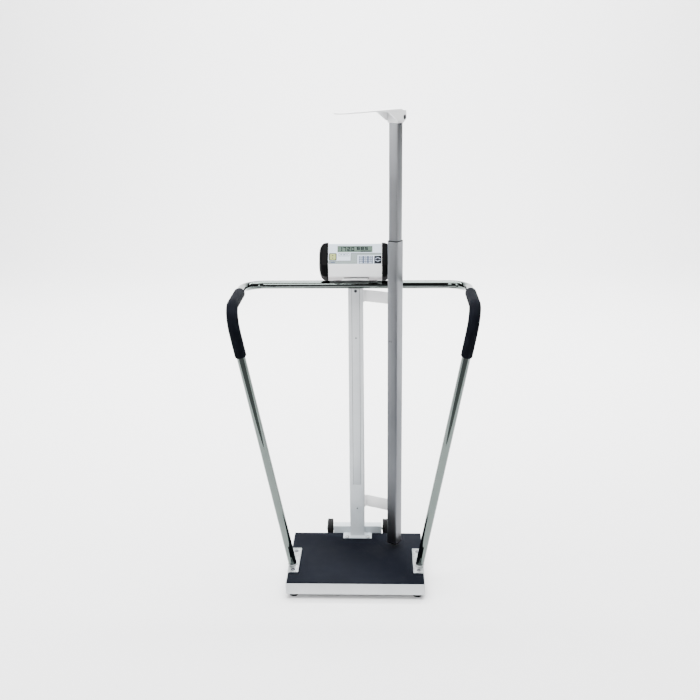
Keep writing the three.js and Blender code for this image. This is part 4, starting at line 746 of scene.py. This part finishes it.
LABEL_X, LABEL_Z = -0.0056, 0.8155
LABEL_PITCH = 0.0018
label_print = finish("label_print", (0.07, 0.075, 0.085), rough=(0.4, 0.5), specular=0.3)
bm = bmesh.new()
for row in range(3):
    for start, end in ((-0.006, -0.0005), (0.0008, 0.006)):
        z = LABEL_Z + (1 - row) * LABEL_PITCH
        box_in(bm, (LABEL_X + start, -OUTER_HALF[1] - 0.00012, z),
               (LABEL_X + end, -OUTER_HALF[1] + 0.0002, z + 0.0011))
bmesh.ops.transform(bm, matrix=rod_place, verts=bm.verts)
piece("rod_label", bm, label_print, "base", "panel_print")

collar_low, collar_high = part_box("rod_collar")
outer_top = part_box("rod_outer")[1][2]
bm = bmesh.new()
bored(bm, rounded_rectangle(OUTER_HALF[0], OUTER_HALF[1], 0.005), rounded_rectangle(0.0174, 0.0159, 0.0043),
      outer_top + 0.0002, collar_high[2], rod_place)
bored(bm, rounded_rectangle(0.01715, 0.01815, 0.0031), rounded_rectangle(0.0174 - 0.0003, 0.0159, 0.0029),
      collar_low[2], outer_top + 0.0001, rod_place)
bmesh.ops.recalc_face_normals(bm, faces=bm.faces)
piece("rod_collar_ring", bm, black_plastic, "base", "black_plastic", "rod_collar", crease=40)

cap_low, cap_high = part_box("rod_bottom_cap")
bm = bmesh.new()
outer_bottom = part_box("rod_outer")[0][2]
raised_solid(bm, rounded_rectangle(*OUTER_HALF, 0.005), cap_low[2], outer_bottom - 0.0002, rod_place)
bmesh.ops.recalc_face_normals(bm, faces=bm.faces)
round_edges(bm, [e for e in sharp_edges(bm) if max(v.co.z for v in e.verts) < cap_low[2] + 1e-5], 0.0008, 2)
raised_solid(bm, rounded_rectangle(0.0171, 0.0181, 0.0032), outer_bottom - 0.0001, cap_high[2], rod_place)
piece("rod_foot_plug", bm, black_plastic, "base", "black_plastic", "rod_bottom_cap")


# ---- Headpiece ----
# A white plastic block on the inner tube's top carries a flat measuring blade that folds up on a steel pin.
# The blade tapers in plan and thickness to a round tip and straddles the block. Black caps close the pin.
white_plastic = finish("white_plastic", (0.85, 0.855, 0.86), rough=(0.3, 0.42), bump=0.06, scale=700,
                       edge=(0.95, 0.95, 0.95), edge_highlight_amount=0.4, cloud=(0.8, 0.805, 0.81), cloud_amount=0.2)
INNER_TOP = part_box("rod_inner")[1][2]
HEAD_BASE = INNER_TOP + 0.0003
HEAD_TOP = HEAD_BASE + 0.031
PIN_Y = 0.015
SWEPT_RADIUS = 0.014
PIN_Z = HEAD_TOP - SWEPT_RADIUS
BLOCK_HALF = 0.0195
CHEEK_IN, CHEEK_OUT = 0.0198, 0.0233
BLADE_UNDER = HEAD_TOP + 0.0003
BLADE_FRONT = -0.018
BLADE_REAR = 0.025
TIP_HALF = 0.020
BLADE_REACH = 0.3
TIP_CENTRE = BLADE_FRONT - BLADE_REACH + TIP_HALF
BLADE_THICKNESS = 0.012
BLADE_TOP = BLADE_UNDER + BLADE_THICKNESS
GUSSET = 0.070
GUSSET_RISE = 0.008
NOSE = BLADE_FRONT - GUSSET
BLADE_STEPS = 24
TIP_STEPS = 16


def arc(y, z, reach, rise, degrees):
    """Points of an arc about y, z; 0 degrees is to the rear and 90 is up."""
    return [(y + reach * math.cos(math.radians(a)), z + rise * math.sin(math.radians(a))) for a in degrees]


bm = bmesh.new()
swept_edge = arc(PIN_Y, PIN_Z, SWEPT_RADIUS, SWEPT_RADIUS, (44.5, 56, 67, 79, 90))
block_side = [(BLADE_FRONT, HEAD_BASE), (-BLADE_FRONT, HEAD_BASE), (BLADE_REAR, PIN_Z), *swept_edge,
              (BLADE_FRONT, HEAD_TOP)]
prism(bm, [(-BLOCK_HALF, y, z) for y, z in block_side], (2 * BLOCK_HALF, 0, 0))
bmesh.ops.recalc_face_normals(bm, faces=bm.faces)
round_edges(bm, sharp_edges(bm, 25), 0.0014, 4)
bmesh.ops.transform(bm, matrix=rod_place, verts=bm.verts)
piece("head_block", bm, white_plastic, "rod_inner", "white_plastic", "head_cap", crease=50)


def loft(bm, rings):
    """Joins rings of equal length with quads and closes both ends."""
    made = [[bm.verts.new(p) for p in ring] for ring in rings]
    for near, far in zip(made, made[1:]):
        for i in range(len(near)):
            j = (i + 1) % len(near)
            bm.faces.new((near[i], near[j], far[j], far[i]))
    bm.faces.new(made[0][::-1])
    bm.faces.new(made[-1])


def blade_ring(y, half, low, high):
    """The blade's section at one distance from the pin: a bar with rounded corners between two heights."""
    corner = min(0.0012, (high - low) * 0.4, half * 0.4)
    middle = (low + high) / 2
    return [(x, y, middle + z) for x, z in rounded_rectangle(half, (high - low) / 2, corner, 4)]


def underside(y):
    """Height of the blade's lower face, which thins quickly ahead of the block and then slowly to the tip."""
    if y > BLADE_FRONT:
        return BLADE_UNDER
    if y > NOSE:
        return BLADE_UNDER + GUSSET_RISE * (BLADE_FRONT - y) / GUSSET
    return BLADE_UNDER + GUSSET_RISE + 0.001 * (NOSE - y) / (BLADE_REACH - GUSSET)


bm = bmesh.new()
low_top = BLADE_TOP - 0.005
rings = [blade_ring(BLADE_REAR, CHEEK_OUT - 0.001, BLADE_UNDER + 0.0008, low_top - 0.0008)]
for y, top in ((BLADE_REAR - 0.001, low_top), (0.007, low_top), (0.0055, low_top + 0.0008),
               (0.0015, BLADE_TOP - 0.0007), (0, BLADE_TOP - 0.0001), (-0.002, BLADE_TOP)):
    rings.append(blade_ring(y, CHEEK_OUT, BLADE_UNDER, top))
for step in range(BLADE_STEPS + 1):
    share = step / BLADE_STEPS
    y = BLADE_FRONT + (TIP_CENTRE - BLADE_FRONT) * share
    rings.append(blade_ring(y, CHEEK_OUT + (TIP_HALF - CHEEK_OUT) * share, underside(y), BLADE_TOP))
for step in range(1, TIP_STEPS + 1):
    turn = math.pi / 2 * step / (TIP_STEPS + 0.4)
    y = TIP_CENTRE - TIP_HALF * math.sin(turn)
    rings.append(blade_ring(y, TIP_HALF * math.cos(turn), underside(y), BLADE_TOP))
loft(bm, rings)
for sign in (-1, 1):
    inner, outer = sign * CHEEK_IN, sign * CHEEK_OUT
    cheek = [(NOSE + 0.004, BLADE_TOP - 0.0030), (NOSE + 0.004, BLADE_TOP - 0.0046), (-0.024, PIN_Z - 0.0088),
             (-0.0215, PIN_Z - 0.010)]
    cheek += arc(PIN_Y, PIN_Z, 0.010, 0.010, range(-90, 0, 20))
    cheek += [(BLADE_REAR, PIN_Z + 0.006), (BLADE_REAR, BLADE_UNDER + 0.002)]
    for v in prism(bm, [(inner, y, z) for y, z in cheek], (outer - inner, 0, 0)):
        if v.co.y < BLADE_FRONT:
            v.co.x -= sign * (CHEEK_OUT - TIP_HALF) * (BLADE_FRONT - v.co.y) / (BLADE_FRONT - TIP_CENTRE)
bmesh.ops.transform(bm, matrix=rod_place, verts=bm.verts)
piece("measuring_blade", bm, white_plastic, "headpiece", "white_plastic", "head_blade", crease=40)

pin_dark = finish("pin_cap_plastic", (0.02, 0.02, 0.023), rough=(0.3, 0.45), bump=0.08, scale=500)
bm = bmesh.new()
right_way = rod_turn.to_3x3() @ Vector((1, 0, 0))
for sign in (-1, 1):
    centre = rod_place @ Vector((sign * (CHEEK_OUT + 0.0003), PIN_Y, PIN_Z))
    spun(bm, [(0, 0), (0.0075, 0), (0.0075, 0.0009), (0.0069, 0.0015), (0.0055, 0.0019), (0.003, 0.002),
              (0, 0.002)], centre, right_way * sign)
bmesh.ops.create_cone(bm, cap_ends=True, segments=32, radius1=0.004, radius2=0.004, depth=2 * CHEEK_OUT,
                      matrix=Matrix.Translation(rod_place @ Vector((0, PIN_Y, PIN_Z)))
                      @ right_way.to_track_quat("Z", "Y").to_matrix().to_4x4())
piece("hinge_pin_caps", bm, pin_dark, "rod_inner", "dark_steel", "head_hinge_pin")

bm = bmesh.new()
screw_place = rod_place @ Vector((INNER_HALF[0] + 0.0002, 0, INNER_TOP - 0.004))
spun(bm, [(0, 0), (0.003, 0), (0.003, 0.0007), (0.0024, 0.0013), (0.0012, 0.0015), (0.001, 0.0007),
          (0, 0.0007)], screw_place, right_way, steps=32)
piece("head_screw", bm, dark_steel, "rod_inner", "dark_steel", "cap_screw")


# ---- Rod arms ----
# Two straps of 4 mm white steel run from the column's right side to the back of the outer rod.
# Each is a flat outline raised to its height, with the bends rounded.
ARM_HALF = 0.002
# The straps' paint is a lighter copy of the column's white paint: painted light, so the shaded straps read as
# brightly lit.
lit_arm_paint = finish("lit_arm_paint", (0.86, 0.865, 0.875), rough=(0.3, 0.42), bump=0.1, scale=900, coat=0.2,
                   cloud=(0.78, 0.79, 0.8), cloud_amount=0.2)
COLUMN_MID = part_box("column_tube")[1][1] - 0.015
arm_path = [Vector((0.0277, COLUMN_MID - 0.014)), Vector((0.0277, COLUMN_MID))]
for along in (-0.022, 0.014):
    spot = rod_place @ Vector((along, 0.0223, 0))
    arm_path.append(Vector((spot[0], spot[1])))


def strap_outline(path, half):
    """Both sides of a bent strap from its middle line, mitred at the bends."""
    sides = [[], []]
    for i, point in enumerate(path):
        runs = [(b - a).normalized() for a, b in zip(path[max(i - 1, 0):i + 1], path[max(i, 1):i + 2])]
        normals = [Vector((-run.y, run.x)) for run in runs]
        mitre = sum(normals, Vector((0, 0))).normalized()
        reach = half / mitre.dot(normals[0])
        sides[0].append(point + mitre * reach)
        sides[1].append(point - mitre * reach)
    return sides[0] + sides[1][::-1]


for node in ("rod_arm_upper", "rod_arm_lower"):
    low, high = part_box(node)
    bm = bmesh.new()
    prism(bm, [(p.x, p.y, low[2]) for p in strap_outline(arm_path, ARM_HALF)], (0, 0, high[2] - low[2]))
    bmesh.ops.recalc_face_normals(bm, faces=bm.faces)
    bends = [e for e in bm.edges
             if upright(e) and any((e.verts[0].co.xy - p).length < 0.004 for p in arm_path[1:3])]
    round_edges(bm, bends, 0.003, 5)
    round_edges(bm, sharp_edges(bm, 60), 0.0006, 2)
    piece(f"{node}_strap", bm, lit_arm_paint, "base", "white_paint", node, crease=30)


# ---- Transport wheels ----
# Two black rubber wheels on a zinc-plated axle behind the platform let the scale be tipped back and rolled.
# A bent white bracket holds the axle. Each wheel is one profile spun about it; the axle has round heads.
wheel_low, wheel_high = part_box("wheel_left")
WHEEL_R = (wheel_high[2] - wheel_low[2]) / 2
WHEEL_APART = 0.101
WHEEL_MID = middle_of("wheel_left")
WHEEL_MID.x = 0
HALF_WIDE = (wheel_high[0] - wheel_low[0]) / 2
tyre_rubber = finish("tyre_rubber", (0.002, 0.0021, 0.0026), rough=(0.5, 0.75), bump=0.35, scale=420,
                     specular=0.12, edge=(0.015, 0.015, 0.016), edge_highlight_amount=0.4)
wheel_profile = [(0.0053, -HALF_WIDE), (0.0115, -HALF_WIDE), (0.0125, -HALF_WIDE + 0.0008),
                 (0.014, -HALF_WIDE + 0.004), (0.0165, -HALF_WIDE + 0.0052), (0.0245, -HALF_WIDE + 0.0052),
                 (0.026, -HALF_WIDE + 0.004), (0.0275, -HALF_WIDE + 0.0015), (0.0285, -HALF_WIDE + 0.001),
                 (0.0325, -HALF_WIDE + 0.001), (0.0342, -HALF_WIDE + 0.0022), (WHEEL_R, -HALF_WIDE + 0.0042),
                 (WHEEL_R, -0.0042), (WHEEL_R - 0.0008, -0.0036)]
wheel_profile += [(r, -w) for r, w in reversed(wheel_profile)]
for side, sign in SIDES:
    centre = WHEEL_MID + Vector((sign * WHEEL_APART, 0, 0))
    bm = bmesh.new()
    spun(bm, wheel_profile + wheel_profile[:1], centre, (1, 0, 0), steps=72)
    piece(f"wheel_tyre_{side}", bm, tyre_rubber, f"wheel_{side}", "wheel_rubber", f"wheel_{side}", crease=45)

bm = bmesh.new()
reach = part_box("wheel_axle")[1][0]
spun(bm, [(0, -reach), (0.0045, -reach), (0.007, -reach + 0.0007), (0.008, -reach + 0.0018),
          (0.008, -reach + 0.003), (0.005, -reach + 0.0031), (0.005, reach - 0.0031), (0.008, reach - 0.003),
          (0.008, reach - 0.0018), (0.007, reach - 0.0007), (0.0045, reach), (0, reach)],
     WHEEL_MID, (1, 0, 0))
piece("axle_rod", bm, zinc, "base", "zinc", "wheel_axle")

bracket_low, bracket_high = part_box("axle_bracket")
SHEET = 0.003
FOLD = 0.032
bm = bmesh.new()
half_b, face_y = bracket_high[0], bracket_low[1]
fold_y = face_y + FOLD
channel = [(face_y, bracket_low[2]), (face_y + SHEET, bracket_low[2]),
           (face_y + SHEET, bracket_high[2] - SHEET), (fold_y, bracket_high[2] - SHEET),
           (fold_y, bracket_high[2]), (face_y, bracket_high[2])]
prism(bm, [(-half_b, y, z) for y, z in channel], (2 * half_b, 0, 0))
bmesh.ops.recalc_face_normals(bm, faces=bm.faces)
fold_edges = [e for e in bm.edges if abs(e.verts[0].co.x - e.verts[1].co.x) > 0.05 and
              abs(e.verts[0].co.y - face_y) < 1e-5 and e.verts[0].co.z > bracket_high[2] - 1e-5]
round_edges(bm, fold_edges, 0.0028, 4)
round_edges(bm, sharp_edges(bm, 60), 0.0004, 2)
for sign in (-1, 1):
    ear = [(face_y + SHEET, bracket_low[2] + 0.008)]
    ear += arc(WHEEL_MID.y, WHEEL_MID.z, 0.010, 0.012, range(-80, 61, 20))
    ear += [(fold_y - 0.001, bracket_high[2] - SHEET), (face_y + SHEET, bracket_high[2] - SHEET)]
    outer, inner = sign * half_b, sign * (half_b - SHEET)
    prism(bm, [(inner, y, z) for y, z in ear], (outer - inner, 0, 0))
piece("axle_channel", bm, column_paint, "base", "white_paint", "axle_bracket", crease=30)


# ---- Indicator ----
# The digital indicator hangs on the yoke by a pin. Its white moulded body is one outline pushed sideways;
# domed black caps close its ends and rubber feet sit under it. A printed panel covers the sloping front,
# around the display.
BODY_HALF = 0.088
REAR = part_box("column_tube")[1][1]
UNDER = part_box("indicator_foot_left")[1][2] + 0.0003
BODY_DEPTH = 0.083
BACK_RISE = 0.113
CHIN_RISE, CHIN_DEPTH = 0.018, 0.066
FACE_FOOT = Vector((0, REAR - BODY_DEPTH, UNDER + 0.055))
FACE_HEAD = Vector((0, REAR - 0.048, UNDER + 0.121))
body_outline = [(REAR, UNDER + BACK_RISE), (FACE_HEAD.y, FACE_HEAD.z), (FACE_FOOT.y, FACE_FOOT.z),
                (REAR - BODY_DEPTH, UNDER + CHIN_RISE), (REAR - CHIN_DEPTH, UNDER), (REAR, UNDER)]


def softened(corners, radius, steps=6):
    """An outline with every corner rounded by a short curve."""
    points = []
    for i, corner in enumerate(corners):
        corner = Vector(corner)
        to_before = (Vector(corners[i - 1]) - corner).normalized()
        to_after = (Vector(corners[(i + 1) % len(corners)]) - corner).normalized()
        cut = radius / math.tan(to_before.angle(to_after) / 2)
        start, end = corner + to_before * cut, corner + to_after * cut
        for step in range(steps + 1):
            t = step / steps
            points.append(start * (1 - t) ** 2 + corner * 2 * t * (1 - t) + end * t * t)
    return points


body_points = softened(body_outline, 0.005)
# Below 1.034 m, on its lower bevel, the body's colour turns grey: painted shade on the face that looks down.
indicator_white = finish("indicator_white", (0.92, 0.925, 0.935), rough=(0.32, 0.42), bump=0.1, scale=900,
                         cloud=(0.8, 0.81, 0.82), cloud_amount=0.2, painted_shade_color=(0.4, 0.375, 0.385),
                         heights=(1.026, 1.034))
bm = bmesh.new()
prism(bm, [(-BODY_HALF, p.x, p.y) for p in body_points], (2 * BODY_HALF, 0, 0))
bmesh.ops.recalc_face_normals(bm, faces=bm.faces)
round_edges(bm, sharp_edges(bm, 60), 0.0006, 2)
TILT = middle_of("tilt_pin")
TILT.x = 0
LUG_R, LUG_HALF = 0.009, 0.0214
lug = [(REAR - 0.001, TILT.z - LUG_R), *arc(TILT.y, TILT.z, LUG_R, LUG_R, range(-90, 91, 15)),
       (REAR - 0.001, TILT.z + LUG_R)]
prism(bm, [(-LUG_HALF, y, z) for y, z in lug], (2 * LUG_HALF, 0, 0))
piece("indicator_body", bm, indicator_white, "indicator", "white_plastic", "indicator_housing", crease=40)

LIP_HALF = 0.041
bm = bmesh.new()
box_in(bm, (-LIP_HALF, REAR - 0.082, UNDER + 0.006), (LIP_HALF, REAR - 0.071, UNDER + 0.009))
round_edges(bm, bm.edges, 0.0009, 3)
piece("indicator_lip", bm, white_plastic, "indicator", "white_plastic")
bm = bmesh.new()
seam_y = REAR - BODY_DEPTH + 0.0057
box_in(bm, (-LIP_HALF + 0.004, seam_y - 0.001, UNDER + 0.0093),
       (LIP_HALF + 0.006, seam_y + 0.003, UNDER + 0.0125))
piece("lip_shadow", bm, black_plastic, "indicator", "black_plastic")

cap_middle = Vector((REAR - 0.040, UNDER + 0.060))
CAP_LONG = 0.031
CAP_SIZE = 1.025
CAP_CLOSE = 0.775
CAP_SQUARENESS = 3.4
CAP_STEPS = 18
for side, sign in SIDES:
    bm = bmesh.new()
    rings = []
    for step in range(CAP_STEPS + 1):
        along = math.sin(math.pi / 2 * step / CAP_STEPS)
        size = CAP_SIZE - CAP_CLOSE * (1 - math.sqrt(max(0, 1 - along ** CAP_SQUARENESS)))
        x = sign * (BODY_HALF + 0.0003 + CAP_LONG * along)
        rings.append([(x, *(cap_middle + (p - cap_middle) * size)) for p in body_points])
    loft(bm, rings)
    bmesh.ops.recalc_face_normals(bm, faces=bm.faces)
    round_edges(bm, sharp_edges(bm, 60), 0.0007, 3)
    piece(f"end_cap_{side}", bm, black_plastic, "indicator", "black_plastic", f"indicator_cap_{side}",
          crease=50)
    centre = middle_of(f"indicator_foot_{side}")
    centre.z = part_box(f"indicator_foot_{side}")[0][2]
    bm = bmesh.new()
    spun(bm, [(0, 0), (0.007, 0), (0.010, 0.0005), (0.0128, 0.0018), (0.0145, 0.0038), (0.015, 0.0055),
              (0.015, 0.007), (0, 0.007)], centre)
    piece(f"indicator_rubber_{side}", bm, pad_rubber, "indicator", "black_rubber", f"indicator_foot_{side}")

rise = (FACE_HEAD - FACE_FOOT).normalized()
face_out = Vector((1, 0, 0)).cross(rise)
face_place = Matrix.Translation(FACE_FOOT) @ Matrix((Vector((1, 0, 0)), rise, face_out)).transposed().to_4x4()
FACE_LONG = (FACE_HEAD - FACE_FOOT).length
PANEL_OUT = (0.0003, 0.0015)
LCD_HALF = 0.0575
LCD_SPAN = (FACE_LONG - 0.031, FACE_LONG - 0.010)


def inlay(bm, across, along, out, corner=0.0):
    """A thin plate on the sloping face: millimetres across and along it, metres out from it."""
    (x0, x1), (a0, a1) = [v / 1000 for v in across], [v / 1000 for v in along]
    half_x, half_a = (x1 - x0) / 2, (a1 - a0) / 2
    outline = rounded_rectangle(half_x, half_a, corner, 4) if corner else \
        [(half_x, half_a), (-half_x, half_a), (-half_x, -half_a), (half_x, -half_a)]
    middle = Matrix.Translation(((x0 + x1) / 2, (a0 + a1) / 2, 0))
    raised_solid(bm, outline, *out, face_place @ middle)


def printed(name, material, plates, out, *nodes, slot="panel_print", corner=0.0):
    """One printed or moulded layer made of several plates of one material."""
    bm = bmesh.new()
    for across, along in plates:
        inlay(bm, across, along, out, corner)
    piece(name, bm, material, "indicator", slot, *nodes)


panel_blue = finish("panel_film", (0.6, 0.675, 0.77), rough=(0.45, 0.55), bump=0.04, scale=1500,
                    specular=0.25, cloud=(0.65, 0.72, 0.8), cloud_amount=0.3, cloud_scale=30)
print_grey = finish("printed_grey", (0.235, 0.28, 0.275), rough=(0.5, 0.6), specular=0.2)
print_slate = finish("printed_slate", (0.085, 0.105, 0.155), rough=(0.5, 0.6), specular=0.2)
print_dark = finish("printed_dark", (0.006, 0.0075, 0.012), rough=(0.5, 0.6), specular=0.15)
key_light = finish("key_light", (0.4, 0.455, 0.55), rough=(0.5, 0.6), specular=0.2, bump=0.04)
key_green = finish("key_green", (0.36, 0.4, 0.15), rough=(0.5, 0.6), specular=0.2, bump=0.04)
lcd_glass = finish("lcd_glass", (0.095, 0.135, 0.11), rough=(0.25, 0.3), specular=0.3,
                   cloud=(0.12, 0.165, 0.135), cloud_amount=0.4, cloud_scale=40)
FULL = 1000 * (BODY_HALF - 0.001)
LOW_MM, HIGH_MM = 4.0, 1000 * FACE_LONG - 3
LCD_MM = 1000 * LCD_HALF + 0.3
LCD_A, LCD_B = 1000 * LCD_SPAN[0] - 0.3, 1000 * LCD_SPAN[1] + 0.3
printed("panel_sheet", panel_blue, [((-FULL, FULL), (LOW_MM, LCD_A)), ((-FULL, FULL), (LCD_B, HIGH_MM)),
                                    ((-FULL, -LCD_MM), (LCD_A, LCD_B)), ((LCD_MM, FULL), (LCD_A, LCD_B))],
        PANEL_OUT, "keypad_panel")
printed("display_window", lcd_glass, [((-57.5, 57.5), (1000 * LCD_SPAN[0], 1000 * LCD_SPAN[1]))],
        (-0.0045, 0.0009), "lcd_display", slot="display")

INK = (0.0015, 0.00156)
KEY = (0.0015, 0.0019)
FIGURE = (0.0009, 0.00095)
FIGURE_PITCH = 13.2
KEY_PITCH = (15.2, 6.5)
key_rim = finish("key_rim", (0.06, 0.066, 0.045), rough=(0.5, 0.6), specular=0.2)
printed("green_key_frame", key_rim, [((-85.5, -59.8), (15.4, 40.2))], INK, corner=0.0032)
printed("green_key", key_green, [((-82, -63.5), (18, 37.6))], KEY, corner=0.0028)
printed("green_key_marks", key_rim, [((-75.5, -70.5), (30, 33)), ((-75.5, -70.5), (22, 25))],
        (0.0019, 0.00195))
printed("outlined_box", print_slate, [((-53.4, -18.4), (38.8, 40.3)), ((-53.4, -18.4), (29.8, 31)),
                                      ((-53.4, -51.9), (31, 38.8)), ((-19.9, -18.4), (31, 38.8)),
                                      ((-48, -42), (33.4, 36.4)), ((-39, -31), (33.4, 36.4)),
                                      ((-28, -24), (33.4, 36.4))], INK)
printed("grey_band", print_grey, [((-FULL, -14), (LOW_MM, 13.2)), ((-14, 8), (LOW_MM, 40.2)),
                                  ((8, FULL), (33.4, 40.2))], INK)
printed("band_lines", print_slate, [((-FULL, -12.8), (13.2, 14.6)), ((-14.2, -12.8), (14.6, 40.2)),
                                    ((6.8, 8), (LOW_MM, 33.4)), ((-14.2, FULL), (39.6, 41))],
        (INK[0], INK[1] + 0.00002))
printed("left_label", print_slate, [((-80, -65), (7, 11))], (INK[1], INK[1] + 0.00006), corner=0.0015)
printed("keypad_block", print_slate, [((12.4, 59), (4.4, 31))], INK, corner=0.0012)
printed("arrow_block", print_dark, [((63, 86.8), (4.4, 31))], INK, corner=0.0012)

SEGMENTS = {"0": "abcdef", "1": "bc", "2": "abged", "3": "abgcd", "4": "fgbc", "5": "afgcd", "6": "afgedc",
            "7": "abc", "8": "abcdefg", "9": "abcdfg"}


def digit(bm, value, x, a, width, height, line, out):
    """A seven-stroke figure with its lower left corner at x, a; sizes in millimetres."""
    mid = a + height / 2
    strokes = {"a": ((x, x + width), (a + height - line, a + height)), "d": ((x, x + width), (a, a + line)),
               "g": ((x, x + width), (mid - line / 2, mid + line / 2)),
               "f": ((x, x + line), (mid, a + height)),
               "b": ((x + width - line, x + width), (mid, a + height)),
               "e": ((x, x + line), (a, mid)), "c": ((x + width - line, x + width), (a, mid))}
    for name in SEGMENTS[value]:
        across, along = strokes[name]
        trim = line * 0.12
        inlay(bm, (across[0] + trim, across[1] - trim), (along[0] + trim, along[1] - trim), out)


bm = bmesh.new()
x = -52.0
for value in "1720":
    digit(bm, value, x, LCD_A + 3.6, 10.5, 14.5, 3.7, FIGURE)
    x += FIGURE_PITCH
x += 5
for value in "685":
    digit(bm, value, x, LCD_A + 7.4, 10.5, 11.5, 3.4, FIGURE)
    x += FIGURE_PITCH
for dot in (-14.9, 30.4):
    inlay(bm, (dot, dot + 2), (LCD_A + 3.6, LCD_A + 5.6), FIGURE)
inlay(bm, (18, 52), (LCD_A + 2.2, LCD_A + 5), (0.0009, 0.00094))
piece("display_figures", bm, print_dark, "indicator", "display")

bm = bmesh.new()
figures = bmesh.new()
for row in range(4):
    for column in range(3):
        x0, a0 = 14.6 + column * KEY_PITCH[0], 25.0 - row * KEY_PITCH[1]
        inlay(bm, (x0 + 0.4, x0 + 10.2), (a0 + 0.2, a0 + 4.4), (0.00156, 0.0019), 0.0009)
        value = str(row * 3 + column + 1) if row < 3 else ("", "0", "")[column]
        if value:
            digit(figures, value, x0 + 4.0, a0 + 0.7, 2.6, 3.2, 0.7, (0.0019, 0.00194))
piece("number_keys", bm, key_light, "indicator", "panel_print")
piece("number_key_figures", figures, print_dark, "indicator", "panel_print")

bm = bmesh.new()
for middle, way in ((24, 1), (11.5, -1)):
    for step in range(-6, 7):
        x0 = 75 + step * 1.35
        a0 = middle - way * abs(step) * 0.62
        inlay(bm, (x0 - 0.7, x0 + 0.7), (a0, a0 + 1.9), (0.00156, 0.00166))
piece("arrow_marks", bm, key_light, "indicator", "panel_print")


# ---- Indicator yoke ----
# A white steel plate is bolted behind the column and its two ears hold the tilt pin. The pin has round heads,
# and two bolts hold the plate to the column's back.
yoke_low, yoke_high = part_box("indicator_yoke")
bm = bmesh.new()
plate_y = yoke_low[1]
YOKE_RISE, YOKE_THICKNESS = 0.072, 0.004
yoke_top = yoke_low[2] + YOKE_RISE
box_in(bm, (yoke_low[0], plate_y, yoke_low[2]), (yoke_high[0], plate_y + YOKE_THICKNESS, yoke_top))
round_edges(bm, bm.edges, 0.0006, 2)
EAR_R = 0.0085
for sign in (-1, 1):
    inner, outer = sign * (yoke_high[0] - 0.0037), sign * yoke_high[0]
    ear = [(plate_y, yoke_top - 0.024), (TILT.y + EAR_R, yoke_top - 0.024)]
    ear += arc(TILT.y, TILT.z, EAR_R, EAR_R, range(0, 181, 15))
    ear = [(max(y, plate_y + 0.0005), z) for y, z in ear]
    prism(bm, [(inner, y, z) for y, z in ear], (outer - inner, 0, 0))
bmesh.ops.remove_doubles(bm, verts=bm.verts, dist=1e-6)
piece("yoke_plate", bm, column_paint, "base", "white_paint", "indicator_yoke", crease=35)

bm = bmesh.new()
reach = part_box("tilt_pin")[1][0]
spun(bm, [(0, -reach), (0.004, -reach), (0.0055, -reach + 0.001), (0.0055, -reach + 0.003),
          (0.003, -reach + 0.0031), (0.003, reach - 0.0031), (0.0055, reach - 0.003), (0.0055, reach - 0.001),
          (0.004, reach), (0, reach)],
     TILT, (1, 0, 0), steps=32)
piece("tilt_pin_rod", bm, zinc, "base", "zinc", "tilt_pin")

bm = bmesh.new()
for z in (yoke_low[2] + 0.014, yoke_low[2] + 0.042):
    spun(bm, [(0, 0), (0.006, 0), (0.006, 0.0008), (0.005, 0.0025), (0.003, 0.0033), (0, 0.0034)],
         (0, plate_y + YOKE_THICKNESS, z), (0, 1, 0), steps=32)
piece("yoke_bolts", bm, zinc, "base", "zinc")

board_green = finish("board_green", (0.02, 0.11, 0.045), rough=(0.35, 0.5), coat=0.3, bump=0.1)
refinish("main_board", board_green)
